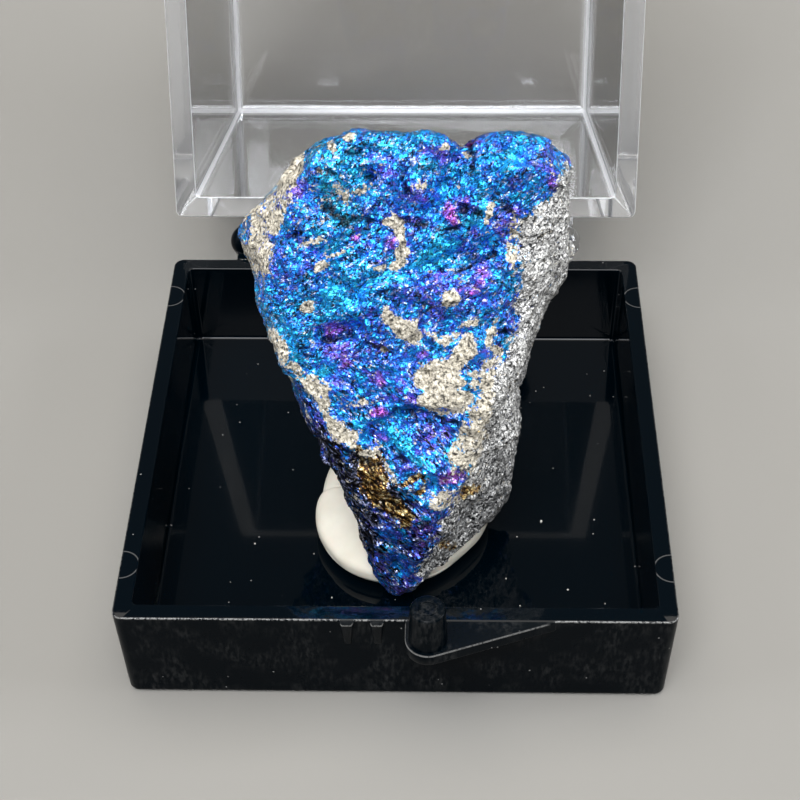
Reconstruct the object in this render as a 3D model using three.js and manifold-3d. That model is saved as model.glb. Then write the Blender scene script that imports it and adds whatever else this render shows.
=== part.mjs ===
// A piece of peacock ore stood on mineral tack in a small hinged specimen box:
// a black tray, a clear lid that stands open behind it, a pat of tack and the stone.
// Millimetres, +Z up. The origin is the centre of the tray's underside, -Y is the front.
import * as THREE from "three";
import { mergeVertices } from "three/addons/utils/BufferGeometryUtils.js";
import Module from "manifold-3d";

const wasm = await Module();
wasm.setup();
const nearly = 0.01; // two places closer than this are the same

// ---- driving dimensions ----
const boxSide = 41; // outer side of the square box at the rim
const innerCorner = 0.5; // vertical corners, inside
const cornerSteps = 4; // straight pieces round one corner
const edgeRound = 0.5; // edge round between walls and base or top
const rimGap = 0.2; // between the two rims when the box is shut
// rim is the wall's thickness at the mouth; each wall leans in towards the base
// or top by draft on the outside and by innerDraft on the inside.
const trayShape = { height: 9.1, rim: 1.35, floor: 1.0, draft: 0.25, innerDraft: 0.1, corner: 0.8 };
const lidShape = { height: 33.1, rim: 1.85, floor: 1.5, draft: 0.2, innerDraft: 0.27, corner: 0.6 };

const hingeBack = 2.25; // hinge axis behind the back wall
const hingeRise = 0.3; // hinge axis above the tray's rim
const lidOpen = THREE.MathUtils.degToRad(111); // open until its far edge meets the table
const knuckleRadius = 1.5;
const pinRadius = 0.7;
const pinHoleRadius = 0.8;
const pinReach = 1.8; // how far the pin goes into the other half's knuckle
const holeDepth = 2.1;
const outerKnuckle = [12.6, 14.2]; // from and to along X, then its ball end
const innerKnuckle = [9.4, 12.3];
const armDrop = 3.1; // how far a hinge arm runs along the wall
const armTaper = 0.6; // it is this much narrower at its far end
const armBeyond = 0.8; // the outer arm reaches this far under the ball
const armShelf = 0.8; // level with the rim for this far out from the wall
const rooted = 0.4; // arms, tab and ribs reach this far into the wall

const latchAt = 2.45; // catch post, to the right of the middle
const postForward = 1.55; // post axis in front of the front wall
const tabThickness = 1.05;
const tabRadius = 1.65;
const tabRoot = 11.7; // where the tab's slope meets the wall
// Each half has a post, and a pair of wedge ribs that the other's post clicks between.
const trayCatch = { height: 3.3, top: 1.28, foot: 1.4, ribs: [-3.42, -1.24], ribProud: 0.5 };
const lidCatch = { height: 2.7, top: 1.0, foot: 1.1, ribs: [-3.85, -1.0], ribProud: 0.3 };
const ribSize = { root: 1.5, nose: 0.75, toe: 0.45, length: 2.75 }; // widths, then its length

const puttyCentre = new THREE.Vector3(0.25, -4.1, 2.5);
const puttyRadius = 7.05;
const puttyUp = 1.45;
const puttyDown = 2.2;
const puttySquareness = 2.6; // 2 is an ellipse
const puttyGrid = 10; // squares along one side of its blown-up cube
// Waves round its rim: how many, their height as a share of the radius, and phase.
const puttyWaves = [
  { count: 2, high: 0.012, phase: 0.8 },
  { count: 5, high: 0.008, phase: 0 },
];
const puttySeat = 0.05; // clearance between putty and tray floor
const stoneSeat = 0.3; // clearance between stone and putty

const stoneCentre = new THREE.Vector3(0.3, -2.6, 20);
const stoneLean = THREE.MathUtils.degToRad(17); // the slab's long axis leans back
const stoneHalf = [12.5, 7, 18]; // width, thickness and length of the slab, halved
const stoneGrid = 21; // squares along one side of the blown-up cube
const edgeSharpness = 18; // higher gives crisper ridges between the facets

// The stone's face is drawn on a plane that tips back and turns a little,
// through its centre, and narrows towards a point this far in front of it.
const faceTip = THREE.MathUtils.degToRad(43.5);
const faceTurn = THREE.MathUtils.degToRad(2);
const facePoint = 131;
// Outline of the face: angle in degrees from +X, anticlockwise, and radius.
const stoneOutline = [
  [-161, 8.8], [-131, 9.5], [-117, 10.8], [-105, 14], [-99, 16.8], [-94, 19.9],
  [-88, 20.5], [-82, 19], [-73, 16.6], [-61, 14.9], [-53, 13.5], [-45, 11.6],
  [-22, 9.3], [-2, 9.9], [12, 11.2], [21, 13.4], [26, 14.7], [33, 15.3],
  [42, 17.9], [47, 18.8], [52, 19.4], [56, 19.3], [64, 17.9], [67, 17.1],
  [70, 15.7], [72, 15.9], [79, 15.9], [93, 16.1], [112, 16], [120, 15.8],
  [128, 14.9], [141, 15], [147, 14.1], [156, 12.1], [178, 9.6],
];
// Broken faces: which way each one looks, and its distance from the centre.
const stoneFaces = [
  { looks: [-0.06, -0.91, 0.41], out: 6.7 }, // main blue face
  { looks: [0.34, -0.82, 0.46], out: 10.0 }, // upper right lobe
  { looks: [0.76, -0.64, 0.08], out: 9.8 }, // silver side
  { looks: [0.72, -0.67, -0.18], out: 10.2 }, // silver side, lower
  { looks: [0.98, 0.2, -0.1], out: 12.4 }, // right, towards the back
  { looks: [-0.28, -0.96, 0.02], out: 9.9 }, // bronze facet, lower left
  { looks: [-0.8, -0.4, 0.45], out: 12.6 }, // pale crust, upper left
  { looks: [-0.95, 0.1, -0.3], out: 10.8 }, // left
  { looks: [0, 0.96, -0.28], out: 6.3 }, // back
  { looks: [0.1, 0.8, 0.6], out: 14.2 }, // back, upper
  { looks: [0, -0.05, 1], out: 18.5 }, // top
  { looks: [0.05, 0.22, -0.97], out: 16.6 }, // underside
];
// Grooves and ledges on the face: middle, half length, half width, turn in
// degrees and depth, all measured on the face's own plane.
const stoneGrooves = [
  { at: [4.3, 12.4], long: 4.2, wide: 1.3, turn: 72, deep: 1.1 }, // below the notch
  { at: [4.4, 5.4], long: 3.6, wide: 0.8, turn: 17, deep: 0.7 },
  { at: [-4.6, 0.4], long: 2.0, wide: 0.7, turn: 8, deep: 0.7 },
  { at: [1.6, 8.6], long: 1.6, wide: 0.7, turn: -12, deep: 0.6 },
  { at: [-5.4, 9.6], long: 2.4, wide: 0.7, turn: -20, deep: 0.5 },
  { at: [3.0, -6.6], long: 2.6, wide: 1.2, turn: -35, deep: 0.6 },
  { at: [7.6, 1.0], long: 4.6, wide: 0.9, turn: 74, deep: 0.5 },
];
// Broken chips: size of a chip and how steeply it is tipped at most.
const stoneChips = [
  { size: 5.4, tip: 0.2, seed: 3 },
  { size: 2.7, tip: 0.24, seed: 8 },
];
const chipDepth = 0.2; // the chipped surface lies this far in on average
const chipBorder = 0.3; // share of its size over which a chip runs out

// ---- materials ----
const blackPlastic = new THREE.MeshStandardMaterial({ color: 0x0b0c10, roughness: 0.25, metalness: 0 });
const clearPlastic = new THREE.MeshStandardMaterial({
  color: 0xeef2f4, roughness: 0.08, metalness: 0, transparent: true, opacity: 0.3,
});
const mineralTack = new THREE.MeshStandardMaterial({ color: 0xd8d4cc, roughness: 0.8, metalness: 0 });
const tarnishedOre = new THREE.MeshStandardMaterial({
  color: 0x1c6fd6, roughness: 0.35, metalness: 0.7, flatShading: true,
});

// ---- joining and cutting ----
function solidOf(geometry) {
  const bare = geometry.clone();
  bare.deleteAttribute("normal");
  bare.deleteAttribute("uv");
  const merged = mergeVertices(bare, 1e-4);
  return new wasm.Manifold(
    new wasm.Mesh({
      numProp: 3,
      vertProperties: Float32Array.from(merged.attributes.position.array),
      triVerts: Uint32Array.from(merged.index.array),
    }),
  );
}

function geometryOf(solid) {
  const mesh = solid.getMesh();
  const geometry = new THREE.BufferGeometry();
  geometry.setAttribute("position", new THREE.BufferAttribute(mesh.vertProperties, 3));
  geometry.setIndex(new THREE.BufferAttribute(mesh.triVerts, 1));
  geometry.computeVertexNormals();
  return geometry;
}

function namedMesh(name, geometry, material) {
  const mesh = new THREE.Mesh(geometry, material);
  mesh.name = name;
  return mesh;
}

// ---- plain shapes ----
// A square outline with round corners, as a list of [x, y], anticlockwise.
function roundedSquare(half, radius) {
  const points = [];
  for (let corner = 0; corner < 4; corner++) {
    const start = (corner * Math.PI) / 2;
    const centreX = (half - radius) * (corner === 0 || corner === 3 ? 1 : -1);
    const centreY = (half - radius) * (corner < 2 ? 1 : -1);
    for (let step = 0; step <= cornerSteps; step++) {
      const angle = start + (step / cornerSteps) * (Math.PI / 2);
      points.push([centreX + radius * Math.cos(angle), centreY + radius * Math.sin(angle)]);
    }
  }
  return points;
}

// Rounded squares stacked upwards and closed with a cap at each end.
function stackedSquares(rings) {
  const outlines = rings.map((ring) => roundedSquare(ring.half, ring.radius));
  const around = outlines[0].length;
  const positions = [];
  const faces = [];
  outlines.forEach((outline, level) => {
    for (const [x, y] of outline) positions.push(x, y, rings[level].z);
  });
  for (let level = 0; level + 1 < rings.length; level++) {
    for (let i = 0; i < around; i++) {
      const next = (i + 1) % around;
      const a = level * around + i;
      const b = level * around + next;
      faces.push(a, b, b + around, a, b + around, a + around);
    }
  }
  const bottom = positions.length / 3;
  positions.push(0, 0, rings[0].z, 0, 0, rings[rings.length - 1].z);
  const last = (rings.length - 1) * around;
  for (let i = 0; i < around; i++) {
    const next = (i + 1) % around;
    faces.push(bottom, next, i, bottom + 1, last + i, last + next);
  }
  const geometry = new THREE.BufferGeometry();
  geometry.setAttribute("position", new THREE.Float32BufferAttribute(positions, 3));
  geometry.setIndex(faces);
  return solidOf(geometry);
}

function roundBar(radiusLow, radiusHigh, from, to, axis, sides = 24) {
  const bar = new THREE.CylinderGeometry(radiusHigh, radiusLow, to - from, sides);
  bar.translate(0, (from + to) / 2, 0);
  if (axis === "x") bar.rotateZ(-Math.PI / 2);
  if (axis === "z") bar.rotateX(Math.PI / 2);
  return bar;
}

// ---- one half of the box, mouth up, rim at height 0 ----
function openBox({ height, rim, floor, draft, innerDraft, corner }) {
  const half = boxSide / 2;
  const base = half - draft;
  const halfway = edgeRound * (1 - Math.SQRT1_2); // the middle of a quarter round
  const outside = stackedSquares([
    { half: base - edgeRound, radius: corner, z: -height },
    { half: base - halfway, radius: corner, z: -height + halfway },
    { half: base, radius: corner, z: -height + edgeRound },
    { half, radius: corner, z: 0 },
  ]);
  const inside = stackedSquares([
    { half: half - rim - innerDraft, radius: innerCorner, z: -height + floor },
    { half: half - rim, radius: innerCorner, z: 0 },
    { half: half - rim, radius: innerCorner, z: 1 },
  ]);
  return outside.subtract(inside);
}

// Catch: a tab level with the rim carries a post; two wedge ribs stand beside it.
function catchParts({ height, top, foot, ribs, ribProud }) {
  const front = -boxSide / 2;
  const postY = front - postForward;
  // where on its round end the line from the tab's root touches it
  const toRoot = Math.hypot(tabRoot - latchAt, postForward);
  const touch = Math.atan2(postForward, tabRoot - latchAt) - Math.acos(tabRadius / toRoot);
  const outline = new THREE.Shape();
  outline.moveTo(tabRoot, front + rooted);
  outline.lineTo(tabRoot, front);
  outline.absarc(latchAt, postY, tabRadius, touch, -Math.PI, true);
  outline.lineTo(latchAt - tabRadius, front + rooted);
  const tab = new THREE.ExtrudeGeometry(outline, {
    depth: tabThickness, bevelEnabled: false, curveSegments: 10,
  });
  tab.translate(0, 0, -tabThickness);
  const post = roundBar(foot, top, -tabThickness / 2, height, "z");
  post.translate(latchAt, postY, 0);
  const tabAndPost = solidOf(tab).add(solidOf(post));
  return ribs.reduce((all, x) => all.add(wedgeRib(x, ribProud)), tabAndPost);
}

// A rib that stands proud of the wall at the rim and tapers away from it.
function wedgeRib(x, proud) {
  const front = -boxSide / 2;
  const into = front + rooted;
  const foot = -ribSize.length;
  const [root, nose, toe] = [ribSize.root / 2, ribSize.nose / 2, ribSize.toe / 2];
  const rib = new THREE.BufferGeometry();
  rib.setAttribute("position", new THREE.Float32BufferAttribute([
    x - root, into, 0, x + root, into, 0, x + nose, front - proud, 0, x - nose, front - proud, 0,
    x - nose, into, foot, x + nose, into, foot, x + toe, front, foot, x - toe, front, foot,
  ], 3));
  rib.setIndex([
    0, 3, 2, 0, 2, 1, 4, 5, 6, 4, 6, 7,
    0, 1, 5, 0, 5, 4, 3, 7, 6, 3, 6, 2,
    1, 2, 6, 1, 6, 5, 0, 4, 7, 0, 7, 3,
  ]);
  return solidOf(rib);
}

// Hinge: on the left an outer knuckle with a ball end and a pin, on the right
// an inner knuckle with a blind hole, each on an arm that runs down the back wall.
function hingeParts(rise) {
  const wall = boxSide / 2;
  const axisY = wall + hingeBack;
  const place = (geometry) => solidOf(geometry.translate(0, axisY, rise));
  // side view of an arm, drawn in Y and Z: out along the rim, round inside the
  // knuckle and back down to the wall
  const profile = new THREE.Shape();
  profile.moveTo(wall - rooted, 0);
  profile.lineTo(wall + armShelf, 0);
  for (const [along, up] of [[-0.33, 0.33], [0.93, 0], [0.6, -0.8]]) {
    profile.lineTo(axisY + along * knuckleRadius, rise + up * knuckleRadius);
  }
  profile.lineTo(wall - rooted, -armDrop);
  const arm = (from, to, narrowSide) => {
    const web = new THREE.ExtrudeGeometry(profile, { depth: to - from, bevelEnabled: false });
    web.applyMatrix4(new THREE.Matrix4().makeBasis(
      new THREE.Vector3(0, 1, 0), new THREE.Vector3(0, 0, 1), new THREE.Vector3(1, 0, 0)));
    web.translate(from, 0, 0);
    const corners = web.attributes.position;
    for (let i = 0; i < corners.count; i++) {
      const atFarEnd = corners.getZ(i) < -armDrop + nearly;
      const onNarrowSide = Math.abs(corners.getX(i) - narrowSide) < nearly;
      if (atFarEnd && onNarrowSide) corners.setX(i, narrowSide - Math.sign(narrowSide) * armTaper);
    }
    return solidOf(web);
  };
  const [outerIn, outerOut] = outerKnuckle;
  const [innerIn, innerOut] = innerKnuckle;
  const ball = new THREE.SphereGeometry(knuckleRadius, 24, 12);
  ball.rotateZ(Math.PI / 2);
  ball.translate(-outerOut, 0, 0);
  const outerEnd = -outerOut - armBeyond;
  const pinned = arm(outerEnd, -outerIn, outerEnd)
    .add(place(roundBar(knuckleRadius, knuckleRadius, -outerOut, -outerIn, "x")))
    .add(place(ball))
    .add(place(roundBar(pinRadius, pinRadius, -outerIn - 0.2, -innerOut + pinReach, "x")));
  const drilled = arm(innerIn, innerOut, innerOut)
    .add(place(roundBar(knuckleRadius, knuckleRadius, innerIn, innerOut, "x")))
    .subtract(place(roundBar(pinHoleRadius, pinHoleRadius, innerOut - holeDepth, innerOut + 1, "x")));
  return pinned.add(drilled);
}

// ---- stone ----
// A repeatable scramble of a cell's whole-number place, from 0 to 1. The large
// primes and shifts only have to mix the bits well.
function scramble(x, y, z, seed) {
  let h = Math.imul(x, 374761393) + Math.imul(y, 668265263) + Math.imul(z, 1274126177);
  h = (h + Math.imul(seed, 362437)) | 0;
  h = Math.imul(h ^ (h >>> 13), 1274126177);
  h = Math.imul(h ^ (h >>> 15), 668265263);
  return ((h ^ (h >>> 16)) >>> 0) / 4294967296;
}

// Chips: space is split into cells round scattered seeds; inside its cell each
// chip is a plane tipped its own way, and it runs out to nothing at the border.
function chipHeight(point, { size, tip, seed }) {
  const cell = [point.x, point.y, point.z].map((v) => Math.floor(v / size));
  let nearest = Infinity;
  let second = Infinity;
  let rise = 0;
  for (let i = -1; i <= 1; i++) {
    for (let j = -1; j <= 1; j++) {
      for (let k = -1; k <= 1; k++) {
        const [x, y, z] = [cell[0] + i, cell[1] + j, cell[2] + k];
        const offset = new THREE.Vector3(
          point.x - (x + scramble(x, y, z, seed)) * size,
          point.y - (y + scramble(x, y, z, seed + 1)) * size,
          point.z - (z + scramble(x, y, z, seed + 2)) * size,
        );
        const distance = offset.length();
        if (distance < nearest) {
          second = nearest;
          nearest = distance;
          rise = offset.x * (scramble(x, y, z, seed + 3) * 2 - 1)
            + offset.y * (scramble(x, y, z, seed + 4) * 2 - 1)
            + offset.z * (scramble(x, y, z, seed + 5) * 2 - 1);
        } else if (distance < second) second = distance;
      }
    }
  }
  return rise * tip * THREE.MathUtils.smoothstep(second - nearest, 0, chipBorder * size);
}

// The points of a cube's faces, blown up to a ball: unit vectors and triangles.
function ballGrid(count) {
  const steps = [];
  for (let i = 0; i <= count; i++) steps.push(Math.tan(((2 * i) / count - 1) * (Math.PI / 4)));
  const sides = [
    (a, b) => [1, a, b], (a, b) => [-1, -a, b], (a, b) => [-a, 1, b],
    (a, b) => [a, -1, b], (a, b) => [-b, a, 1], (a, b) => [b, a, -1],
  ];
  const positions = [];
  const faces = [];
  for (const side of sides) {
    const first = positions.length / 3;
    for (const a of steps) {
      for (const b of steps) positions.push(...new THREE.Vector3(...side(a, b)).normalize());
    }
    for (let i = 0; i < count; i++) {
      for (let j = 0; j < count; j++) {
        const corner = first + i * (count + 1) + j;
        const across = corner + count + 1;
        faces.push(corner, across, across + 1, corner, across + 1, corner + 1);
      }
    }
  }
  const geometry = new THREE.BufferGeometry();
  geometry.setAttribute("position", new THREE.Float32BufferAttribute(positions, 3));
  geometry.setIndex(faces);
  return mergeVertices(geometry, 1e-5);
}

function outlineRadius(degrees) {
  const after = stoneOutline.findIndex(([angle]) => angle > degrees);
  const [low, high] = after > 0
    ? [stoneOutline[after - 1], stoneOutline[after]]
    : [stoneOutline[stoneOutline.length - 1], stoneOutline[0]];
  const span = (high[0] - low[0] + 360) % 360;
  const along = ((degrees - low[0] + 360) % 360) / span;
  return low[1] + along * (high[1] - low[1]);
}

const faceOut = new THREE.Vector3(
  Math.sin(faceTurn) * Math.cos(faceTip), -Math.cos(faceTurn) * Math.cos(faceTip), Math.sin(faceTip));
const faceRight = new THREE.Vector3(Math.cos(faceTurn), Math.sin(faceTurn), 0);
const faceUp = new THREE.Vector3().crossVectors(faceOut, faceRight);

// Distance from the stone's centre to its smooth surface in one direction: the
// outline and every broken face give an inverse distance, and a high-power mean
// of them takes the nearest one and rounds the ridges.
function stoneRadius(direction) {
  const right = direction.dot(faceRight);
  const up = direction.dot(faceUp);
  const outline = outlineRadius(THREE.MathUtils.radToDeg(Math.atan2(up, right)));
  const taper = (outline * direction.dot(faceOut)) / facePoint;
  let sum = Math.max((Math.hypot(right, up) + taper) / outline, 1e-4) ** edgeSharpness;
  for (const { looks, out } of stoneFaces) {
    const normal = new THREE.Vector3(...looks).normalize();
    sum += (Math.max(direction.dot(normal), 0) / out) ** edgeSharpness;
  }
  return sum ** (-1 / edgeSharpness);
}

function grooveDepth(fromCentre) {
  if (fromCentre.dot(faceOut) < 0) return 0;
  const right = fromCentre.dot(faceRight);
  const up = fromCentre.dot(faceUp);
  let depth = 0;
  for (const { at, long, wide, turn, deep } of stoneGrooves) {
    const angle = THREE.MathUtils.degToRad(turn);
    const [x, y] = [right - at[0], up - at[1]];
    const along = (x * Math.cos(angle) + y * Math.sin(angle)) / long;
    const across = (y * Math.cos(angle) - x * Math.sin(angle)) / wide;
    depth += deep * Math.exp(-(along ** 4) - across ** 2);
  }
  return depth;
}

// The stone, or with grow the hollow that it presses into the putty.
function stoneGeometry(grow = 0) {
  const grid = ballGrid(stoneGrid);
  const place = grid.attributes.position;
  const lean = new THREE.Matrix4().makeRotationX(-stoneLean);
  const [halfWide, halfThick, halfLong] = stoneHalf;
  for (let i = 0; i < place.count; i++) {
    const ball = new THREE.Vector3().fromBufferAttribute(place, i);
    const direction = new THREE.Vector3(ball.x * halfWide, ball.y * halfThick, ball.z * halfLong)
      .applyMatrix4(lean).normalize();
    const outward = new THREE.Vector3(ball.x / halfWide, ball.y / halfThick, ball.z / halfLong)
      .applyMatrix4(lean).normalize();
    const point = direction.multiplyScalar(stoneRadius(direction));
    const chips = stoneChips.reduce((sum, chip) => sum + chipHeight(point, chip), -chipDepth);
    point.addScaledVector(outward, chips - grooveDepth(point) + grow).add(stoneCentre);
    place.setXYZ(i, point.x, point.y, point.z);
  }
  grid.computeVertexNormals();
  return grid;
}

// ---- putty: a pressed ball, flat below, bulging out over its foot ----
function puttyGeometry() {
  const grid = ballGrid(puttyGrid);
  const place = grid.attributes.position;
  const floor = trayShape.floor + puttySeat;
  for (let i = 0; i < place.count; i++) {
    const ball = new THREE.Vector3().fromBufferAttribute(place, i);
    const tall = ball.z > 0 ? puttyUp : puttyDown;
    // squarer than an ellipse from the side
    const flat = Math.hypot(ball.x, ball.y) ** puttySquareness;
    const bulge = (flat + Math.abs(ball.z) ** puttySquareness) ** (-1 / puttySquareness);
    const angle = Math.atan2(ball.y, ball.x);
    const waves = puttyWaves.map(({ count, high, phase }) => high * Math.sin(count * angle + phase));
    const reach = puttyRadius * bulge * waves.reduce((sum, wave) => sum + wave, 1);
    place.setX(i, puttyCentre.x + ball.x * reach);
    place.setY(i, puttyCentre.y + ball.y * reach);
    place.setZ(i, Math.max(puttyCentre.z + ball.z * bulge * tall, floor));
  }
  return grid;
}

// ---- assembly ----
const trayParts = openBox(trayShape).add(catchParts(trayCatch)).add(hingeParts(hingeRise));
const tray = namedMesh("base_tray", geometryOf(trayParts), blackPlastic);
tray.position.z = trayShape.height;

// The lid is the same moulding, deeper, turned half round about the front-to-back axis.
const lidParts = openBox(lidShape).add(catchParts(lidCatch)).add(hingeParts(rimGap - hingeRise));
const lid = namedMesh("lid", geometryOf(lidParts).rotateY(Math.PI), clearPlastic);
lid.position.set(0, -boxSide / 2 - hingeBack, rimGap - hingeRise);

const openLid = new THREE.Group();
openLid.position.set(0, boxSide / 2 + hingeBack, trayShape.height + hingeRise);
openLid.rotation.x = -lidOpen;
openLid.add(lid);

const stone = namedMesh("peacock_ore", stoneGeometry(), tarnishedOre);
const pressed = solidOf(puttyGeometry()).subtract(solidOf(stoneGeometry(stoneSeat)));
const putty = namedMesh("putty", geometryOf(pressed), mineralTack);

const specimen = new THREE.Group();
specimen.add(tray, openLid, putty, stone);

export default specimen;
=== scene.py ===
import functools
import itertools
import math

import bpy
import numpy as np
from mathutils import Matrix, Vector


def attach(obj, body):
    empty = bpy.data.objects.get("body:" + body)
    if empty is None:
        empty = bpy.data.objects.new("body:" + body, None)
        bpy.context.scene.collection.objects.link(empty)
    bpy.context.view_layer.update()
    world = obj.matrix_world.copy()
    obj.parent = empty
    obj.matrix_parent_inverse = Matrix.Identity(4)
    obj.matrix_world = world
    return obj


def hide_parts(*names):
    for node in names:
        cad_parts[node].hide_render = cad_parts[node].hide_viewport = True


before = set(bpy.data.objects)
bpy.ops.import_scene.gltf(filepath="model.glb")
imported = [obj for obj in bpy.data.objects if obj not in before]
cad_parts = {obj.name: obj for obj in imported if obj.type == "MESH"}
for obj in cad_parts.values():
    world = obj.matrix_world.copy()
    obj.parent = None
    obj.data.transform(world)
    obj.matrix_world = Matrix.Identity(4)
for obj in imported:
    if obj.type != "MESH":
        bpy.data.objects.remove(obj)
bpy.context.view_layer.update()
millimetre = 0.001
print("frame loaded:", ", ".join(sorted(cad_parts)))


camera = {
    "place": (3.38, -98.835, 106.085),  # millimetres
    "yaw": 1.938,  # degrees to the left of straight back
    "pitch": 43.748,  # degrees down
    "roll": -1.073,
    "lens": 77.43,
    "sensor": 36.0,
}


def inScene(name, data):
    # A new object of the scene, with this data.
    obj = bpy.data.objects.new(name, data)
    bpy.context.scene.collection.objects.link(obj)
    return obj


def makeCamera(c):
    # Forward from yaw and pitch; right is level; roll turns right and up about forward.
    yaw, pitch, roll = (math.radians(c[name]) for name in ("yaw", "pitch", "roll"))
    forward = np.array([-math.sin(yaw) * math.cos(pitch), math.cos(yaw) * math.cos(pitch), -math.sin(pitch)])
    level = np.array([math.cos(yaw), math.sin(yaw), 0.0])
    upright = np.cross(level, forward)
    right = math.cos(roll) * level + math.sin(roll) * upright
    up = math.cos(roll) * upright - math.sin(roll) * level
    data = bpy.data.cameras.new("camera")
    data.lens = c["lens"]
    data.sensor_width = c["sensor"]
    data.clip_start = 0.01
    obj = inScene("camera", data)
    turn = Matrix(np.column_stack([right, up, -forward]).tolist()).to_4x4()
    obj.matrix_world = Matrix.Translation([v * millimetre for v in c["place"]]) @ turn
    bpy.context.scene.camera = obj


makeCamera(camera)


def meshObject(name, points, faces, smooth=True):
    # Points are an array in millimetres; faces are lists of point numbers.
    mesh = bpy.data.meshes.new(name)
    mesh.from_pydata((np.asarray(points) * millimetre).tolist(), [], faces)
    mesh.polygons.foreach_set("use_smooth", np.full(len(mesh.polygons), smooth))
    mesh.update()
    return inScene(name, mesh)


def loft(name, rings):
    # Rings of equally many points, one after another: four-sided faces join each ring
    # to the next, and one flat face closes each end.
    count, around = rings.shape[:2]
    number = np.arange(count * around).reshape(count, around)
    low, high = number[:-1], number[1:]
    sides = np.stack([low, np.roll(low, -1, 1), np.roll(high, -1, 1), high], -1).reshape(-1, 4)
    caps = [number[0][::-1].tolist(), number[-1].tolist()]
    return meshObject(name, rings.reshape(-1, 3), sides.tolist() + caps)


def finished(obj):
    # The object with its modifiers worked out into its mesh.
    graph = bpy.context.evaluated_depsgraph_get()
    mesh = bpy.data.meshes.new_from_object(obj.evaluated_get(graph))
    obj.modifiers.clear()
    old = obj.data
    obj.data = mesh
    bpy.data.meshes.remove(old)
    return obj


def bevelled(obj, width, segments=2):
    # Rounds the edges of a flat-sided part.
    bevel = obj.modifiers.new("edge", "BEVEL")
    bevel.width = width * millimetre
    bevel.segments = segments
    bevel.limit_method = "ANGLE"
    bevel.angle_limit = math.radians(35)
    return finished(obj)


def combined(obj, others, operation):
    # Joins closed parts to obj, or cuts them away, as one solid.
    for other in others:
        cut = obj.modifiers.new(operation, "BOOLEAN")
        cut.operation = operation
        cut.solver = "MANIFOLD"
        cut.object = other
        finished(obj)
        bpy.data.objects.remove(other)
    return obj


def linearColour(text):
    # An sRGB hex colour as linear red, green, blue and full alpha.
    values = [int(text[i:i + 2], 16) / 255 for i in (1, 3, 5)]
    return [v / 12.92 if v <= 0.04045 else ((v + 0.055) / 1.055) ** 2.4 for v in values] + [1.0]


def addNode(tree, kind, *values, stops=(), **settings):
    # Adds a node and gives it back. A word after its kind sets its operation or data type, and settings
    # are its own properties. Values go to its inputs in their order, or by name from a dictionary: each
    # is a number, a colour, a socket, or a node, which stands for its first output. Stops are the places
    # and hex colours of a colour ramp.
    kind, *choice = kind.split()
    node = tree.nodes.new("ShaderNode" + kind)
    if choice:
        setattr(node, "operation" if hasattr(node, "operation") else "data_type", choice[0])
    for name, value in settings.items():
        setattr(node, name, value)
    if values and isinstance(values[0], dict):
        pairs = [(node.inputs[name], value) for name, value in values[0].items()]
    else:
        pairs = zip([socket for socket in node.inputs if socket.enabled], values)
    for socket, value in pairs:
        if isinstance(value, bpy.types.Node):
            value = next(output for output in value.outputs if output.enabled)
        if isinstance(value, bpy.types.NodeSocket):
            tree.links.new(value, socket)
        else:
            socket.default_value = value
    for number, (place, colour) in enumerate(stops):
        element = node.color_ramp.elements[number] if number < 2 else node.color_ramp.elements.new(1.0)
        element.position = place
        element.color = linearColour(colour)
    return node


def newMaterial(name, inputs):
    # inputs(add) gives the sockets of the one shader; add is addNode for this material.
    material = bpy.data.materials.new(name)
    material.use_nodes = True
    add = functools.partial(addNode, material.node_tree)
    material.node_tree.nodes.clear()
    add("OutputMaterial", add("BsdfPrincipled", inputs(add)))
    return material


def setValues(obj, name, values):
    # One value a point, for the piece's material to read.
    layer = obj.data.attributes.new(name, "FLOAT", "POINT")
    layer.data.foreach_set("value", np.asarray(values, np.float32))


def pointsOf(obj):
    # The mesh's points in millimetres.
    points = np.empty(len(obj.data.vertices) * 3)
    obj.data.vertices.foreach_get("co", points)
    return points.reshape(-1, 3) / millimetre


def placed(obj, body, node, material):
    # The piece stands for a CAD node, moves with its body and has one material.
    obj.data.materials.clear()
    obj.data.materials.append(material)
    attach(obj, body)
    if node:
        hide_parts(node)


# The board under the box, the light of the room and four soft lights.
studio = {
    "floor": "#7b7974",
    "floorSide": 3.0,  # metres
    "room": "#d4d8de",
    "roomStrength": 0.22,
    # name, place in metres, side in metres, watts, colour; each one faces the box
    "lights": [
        ("overhead", (0.0, 0.08, 1.3), 1.6, 22.0, "#fffaf2"),
        ("front", (-0.07, -0.43, 0.67), 0.5, 8.7, "#f6f9ff"),
        ("left", (-0.6, -0.08, 0.4), 0.28, 1.5, "#f4f8ff"),
        ("right", (0.64, 0.0, 0.33), 0.28, 3.2, "#f4f8ff"),
    ],
}


def makeStudio(s):
    # A square board, an even room and square lights that look at the origin.
    half = s["floorSide"] / 2 / millimetre
    corners = np.array([[-half, -half, 0], [half, -half, 0], [half, half, 0], [-half, half, 0]])
    floor = meshObject("floor", corners, [[0, 1, 2, 3]], smooth=False)
    floor.data.materials.append(newMaterial("matt_painted_board", lambda add: {
        "Base Color": linearColour(s["floor"]),
        "Roughness": 0.9,
    }))
    world = bpy.data.worlds.new("room")
    world.use_nodes = True
    background = world.node_tree.nodes["Background"]
    background.inputs["Color"].default_value = linearColour(s["room"])
    background.inputs["Strength"].default_value = s["roomStrength"]
    bpy.context.scene.world = world
    for name, place, side, watts, colour in s["lights"]:
        data = bpy.data.lights.new(name, "AREA")
        data.size = side
        data.energy = watts
        data.color = linearColour(colour)[:3]
        light = inScene(name, data)
        turn = (-Vector(place)).to_track_quat("-Z", "Y").to_matrix().to_4x4()
        light.matrix_world = Matrix.Translation(place) @ turn
    bpy.context.scene.view_settings.view_transform = "Standard"


makeStudio(studio)
print("camera, floor and lights set")


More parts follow.
